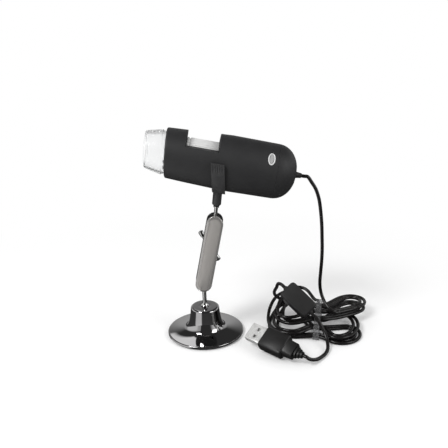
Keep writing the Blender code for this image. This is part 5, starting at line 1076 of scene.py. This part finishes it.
def table_paper():
    """White table paper with a faint grain. The camera sees it as plain white away from the object.
    For glossy rays its colour is a painted reflection:
    a dim table, with a painted white sheet at the left front."""
    made = bpy.data.materials.new("table_paper")
    made.use_nodes = True
    stage = Stage(made.node_tree)
    stage.shader = made.node_tree.nodes["Principled BSDF"]
    stage.set(Roughness=0.9, Specular_IOR_Level=0.0, Emission_Color=(1, 1, 1, 1))
    place = stage.add("ShaderNodeTexCoord").outputs["Object"]
    paper = stage.blend(stage.grain(PAPER_GRAIN, place=place), PAPER_DARK, PAPER)
    # Painted reflection for glossy rays only: a dim table, with a white sheet towards the left
    # front
    way = stage.vector_maths("NORMALIZE", "Vector", place)
    toward = stage.vector_maths("DOT_PRODUCT", "Value", way, PAINTED_SHEET_WAY)
    painted_reflection = stage.blend(stage.rise(toward, *PAINTED_SHEET_EDGE), PAINTED_TABLE_REFLECTION, PAPER)
    stage.drive("Base Color", stage.blend(stage.seen("Glossy"), paper, painted_reflection))
    seen = stage.seen("Camera", "Transmission")
    stage.drive("Emission Strength", stage.maths("MULTIPLY", seen, TABLE_LIFT))
    away = stage.rise(stage.vector_maths("LENGTH", "Value", place), *WHITE_FROM)
    glow = stage.add("ShaderNodeEmission", {"Strength": 1.0}).outputs[0]
    both = stage.add("ShaderNodeMixShader", {0: stage.maths("MULTIPLY", away, seen),
                                             1: stage.shader.outputs[0], 2: glow}).outputs[0]
    stage.tree.links.new(both, stage.tree.nodes["Material Output"].inputs["Surface"])
    return made


def surroundings():
    """White for the camera and an even soft light on the object. For glossy rays it is a painted
    reflection of a room: bright low walls at the sides and behind, a dark ceiling, and a white
    panel behind and one in front."""
    world = bpy.data.worlds.new("surroundings")
    bpy.context.scene.world = world
    world.use_nodes = True
    stage = Stage(world.node_tree)
    way = stage.add("ShaderNodeTexCoord").outputs["Generated"]
    x, y, z = stage.add("ShaderNodeSeparateXYZ", {0: way}).outputs
    # Painted reflection, seen only by glossy rays: bright walls at the sides and behind, a dark
    # ceiling
    walls = stage.maths("MAXIMUM", stage.rise(stage.maths("ABSOLUTE", x), *SIDE_WALLS),
                        stage.rise(y, *REAR_WALL, 0.0, REAR_LEVEL))
    walls = stage.maths("MULTIPLY", walls, stage.rise(z, *CEILING, 1.0, 0.0))
    room = stage.maths("MAXIMUM", walls, ROOM_LEVEL)
    # Painted reflections of two white panels, seen only by glossy rays
    for facing, middle, half_width, low, high, level in PAINTED_REFLECTION_PANELS:
        off = stage.maths("ABSOLUTE", stage.maths("SUBTRACT", x, middle))
        panel = stage.rise(off, half_width - PANEL_BLUR, half_width + PANEL_BLUR, 1.0, 0.0)
        for edge, blur in ((low, PANEL_BLUR), (high, -PANEL_BLUR)):
            panel = stage.maths("MULTIPLY", panel, stage.rise(z, edge - blur, edge + blur))
        panel = stage.maths("MULTIPLY", panel, stage.rise(y, 0.0, PANEL_TURN * facing))
        room = stage.maths("MAXIMUM", room, stage.maths("MULTIPLY", panel, level))
    soft = stage.add("ShaderNodeMapRange", {"Value": stage.seen("Camera", "Transmission"),
                                            "To Min": SKY_LEVEL, "To Max": 1.0})
    level = stage.add("ShaderNodeMix", {0: stage.seen("Glossy"), 2: soft.outputs["Result"],
                                        3: room}).outputs[0]
    background = stage.tree.nodes["Background"].inputs
    stage.tree.links.new(level, background["Strength"])
    background["Color"].default_value = (1, 1, 1, 1)


def set_studio():
    """Table, surroundings and soft lamps."""
    mesh = bpy.data.meshes.new("table")
    corners = ((-1, -1), (1, -1), (1, 1), (-1, 1))
    mesh.from_pydata([(x * TABLE_HALF, y * TABLE_HALF, -TABLE_GAP) for x, y in corners],
                     [], [(0, 1, 2, 3)])
    mesh.materials.append(table_paper())
    table = bpy.data.objects.new("table", mesh)
    bpy.context.scene.collection.objects.link(table)
    surroundings()
    for name, place, size, power in LAMPS:
        lamp = bpy.data.lights.new(name, "AREA")
        lamp.shape = "RECTANGLE"
        lamp.size, lamp.size_y = size
        lamp.energy = power
        stand = bpy.data.objects.new(name, lamp)
        bpy.context.scene.collection.objects.link(stand)
        aim = (Vector(LAMP_AIM) - Vector(place)).to_track_quat("-Z", "Y")
        stand.matrix_world = Matrix.Translation(place) @ aim.to_matrix().to_4x4()


set_studio()
bpy.context.scene.view_settings.view_transform = "Standard"
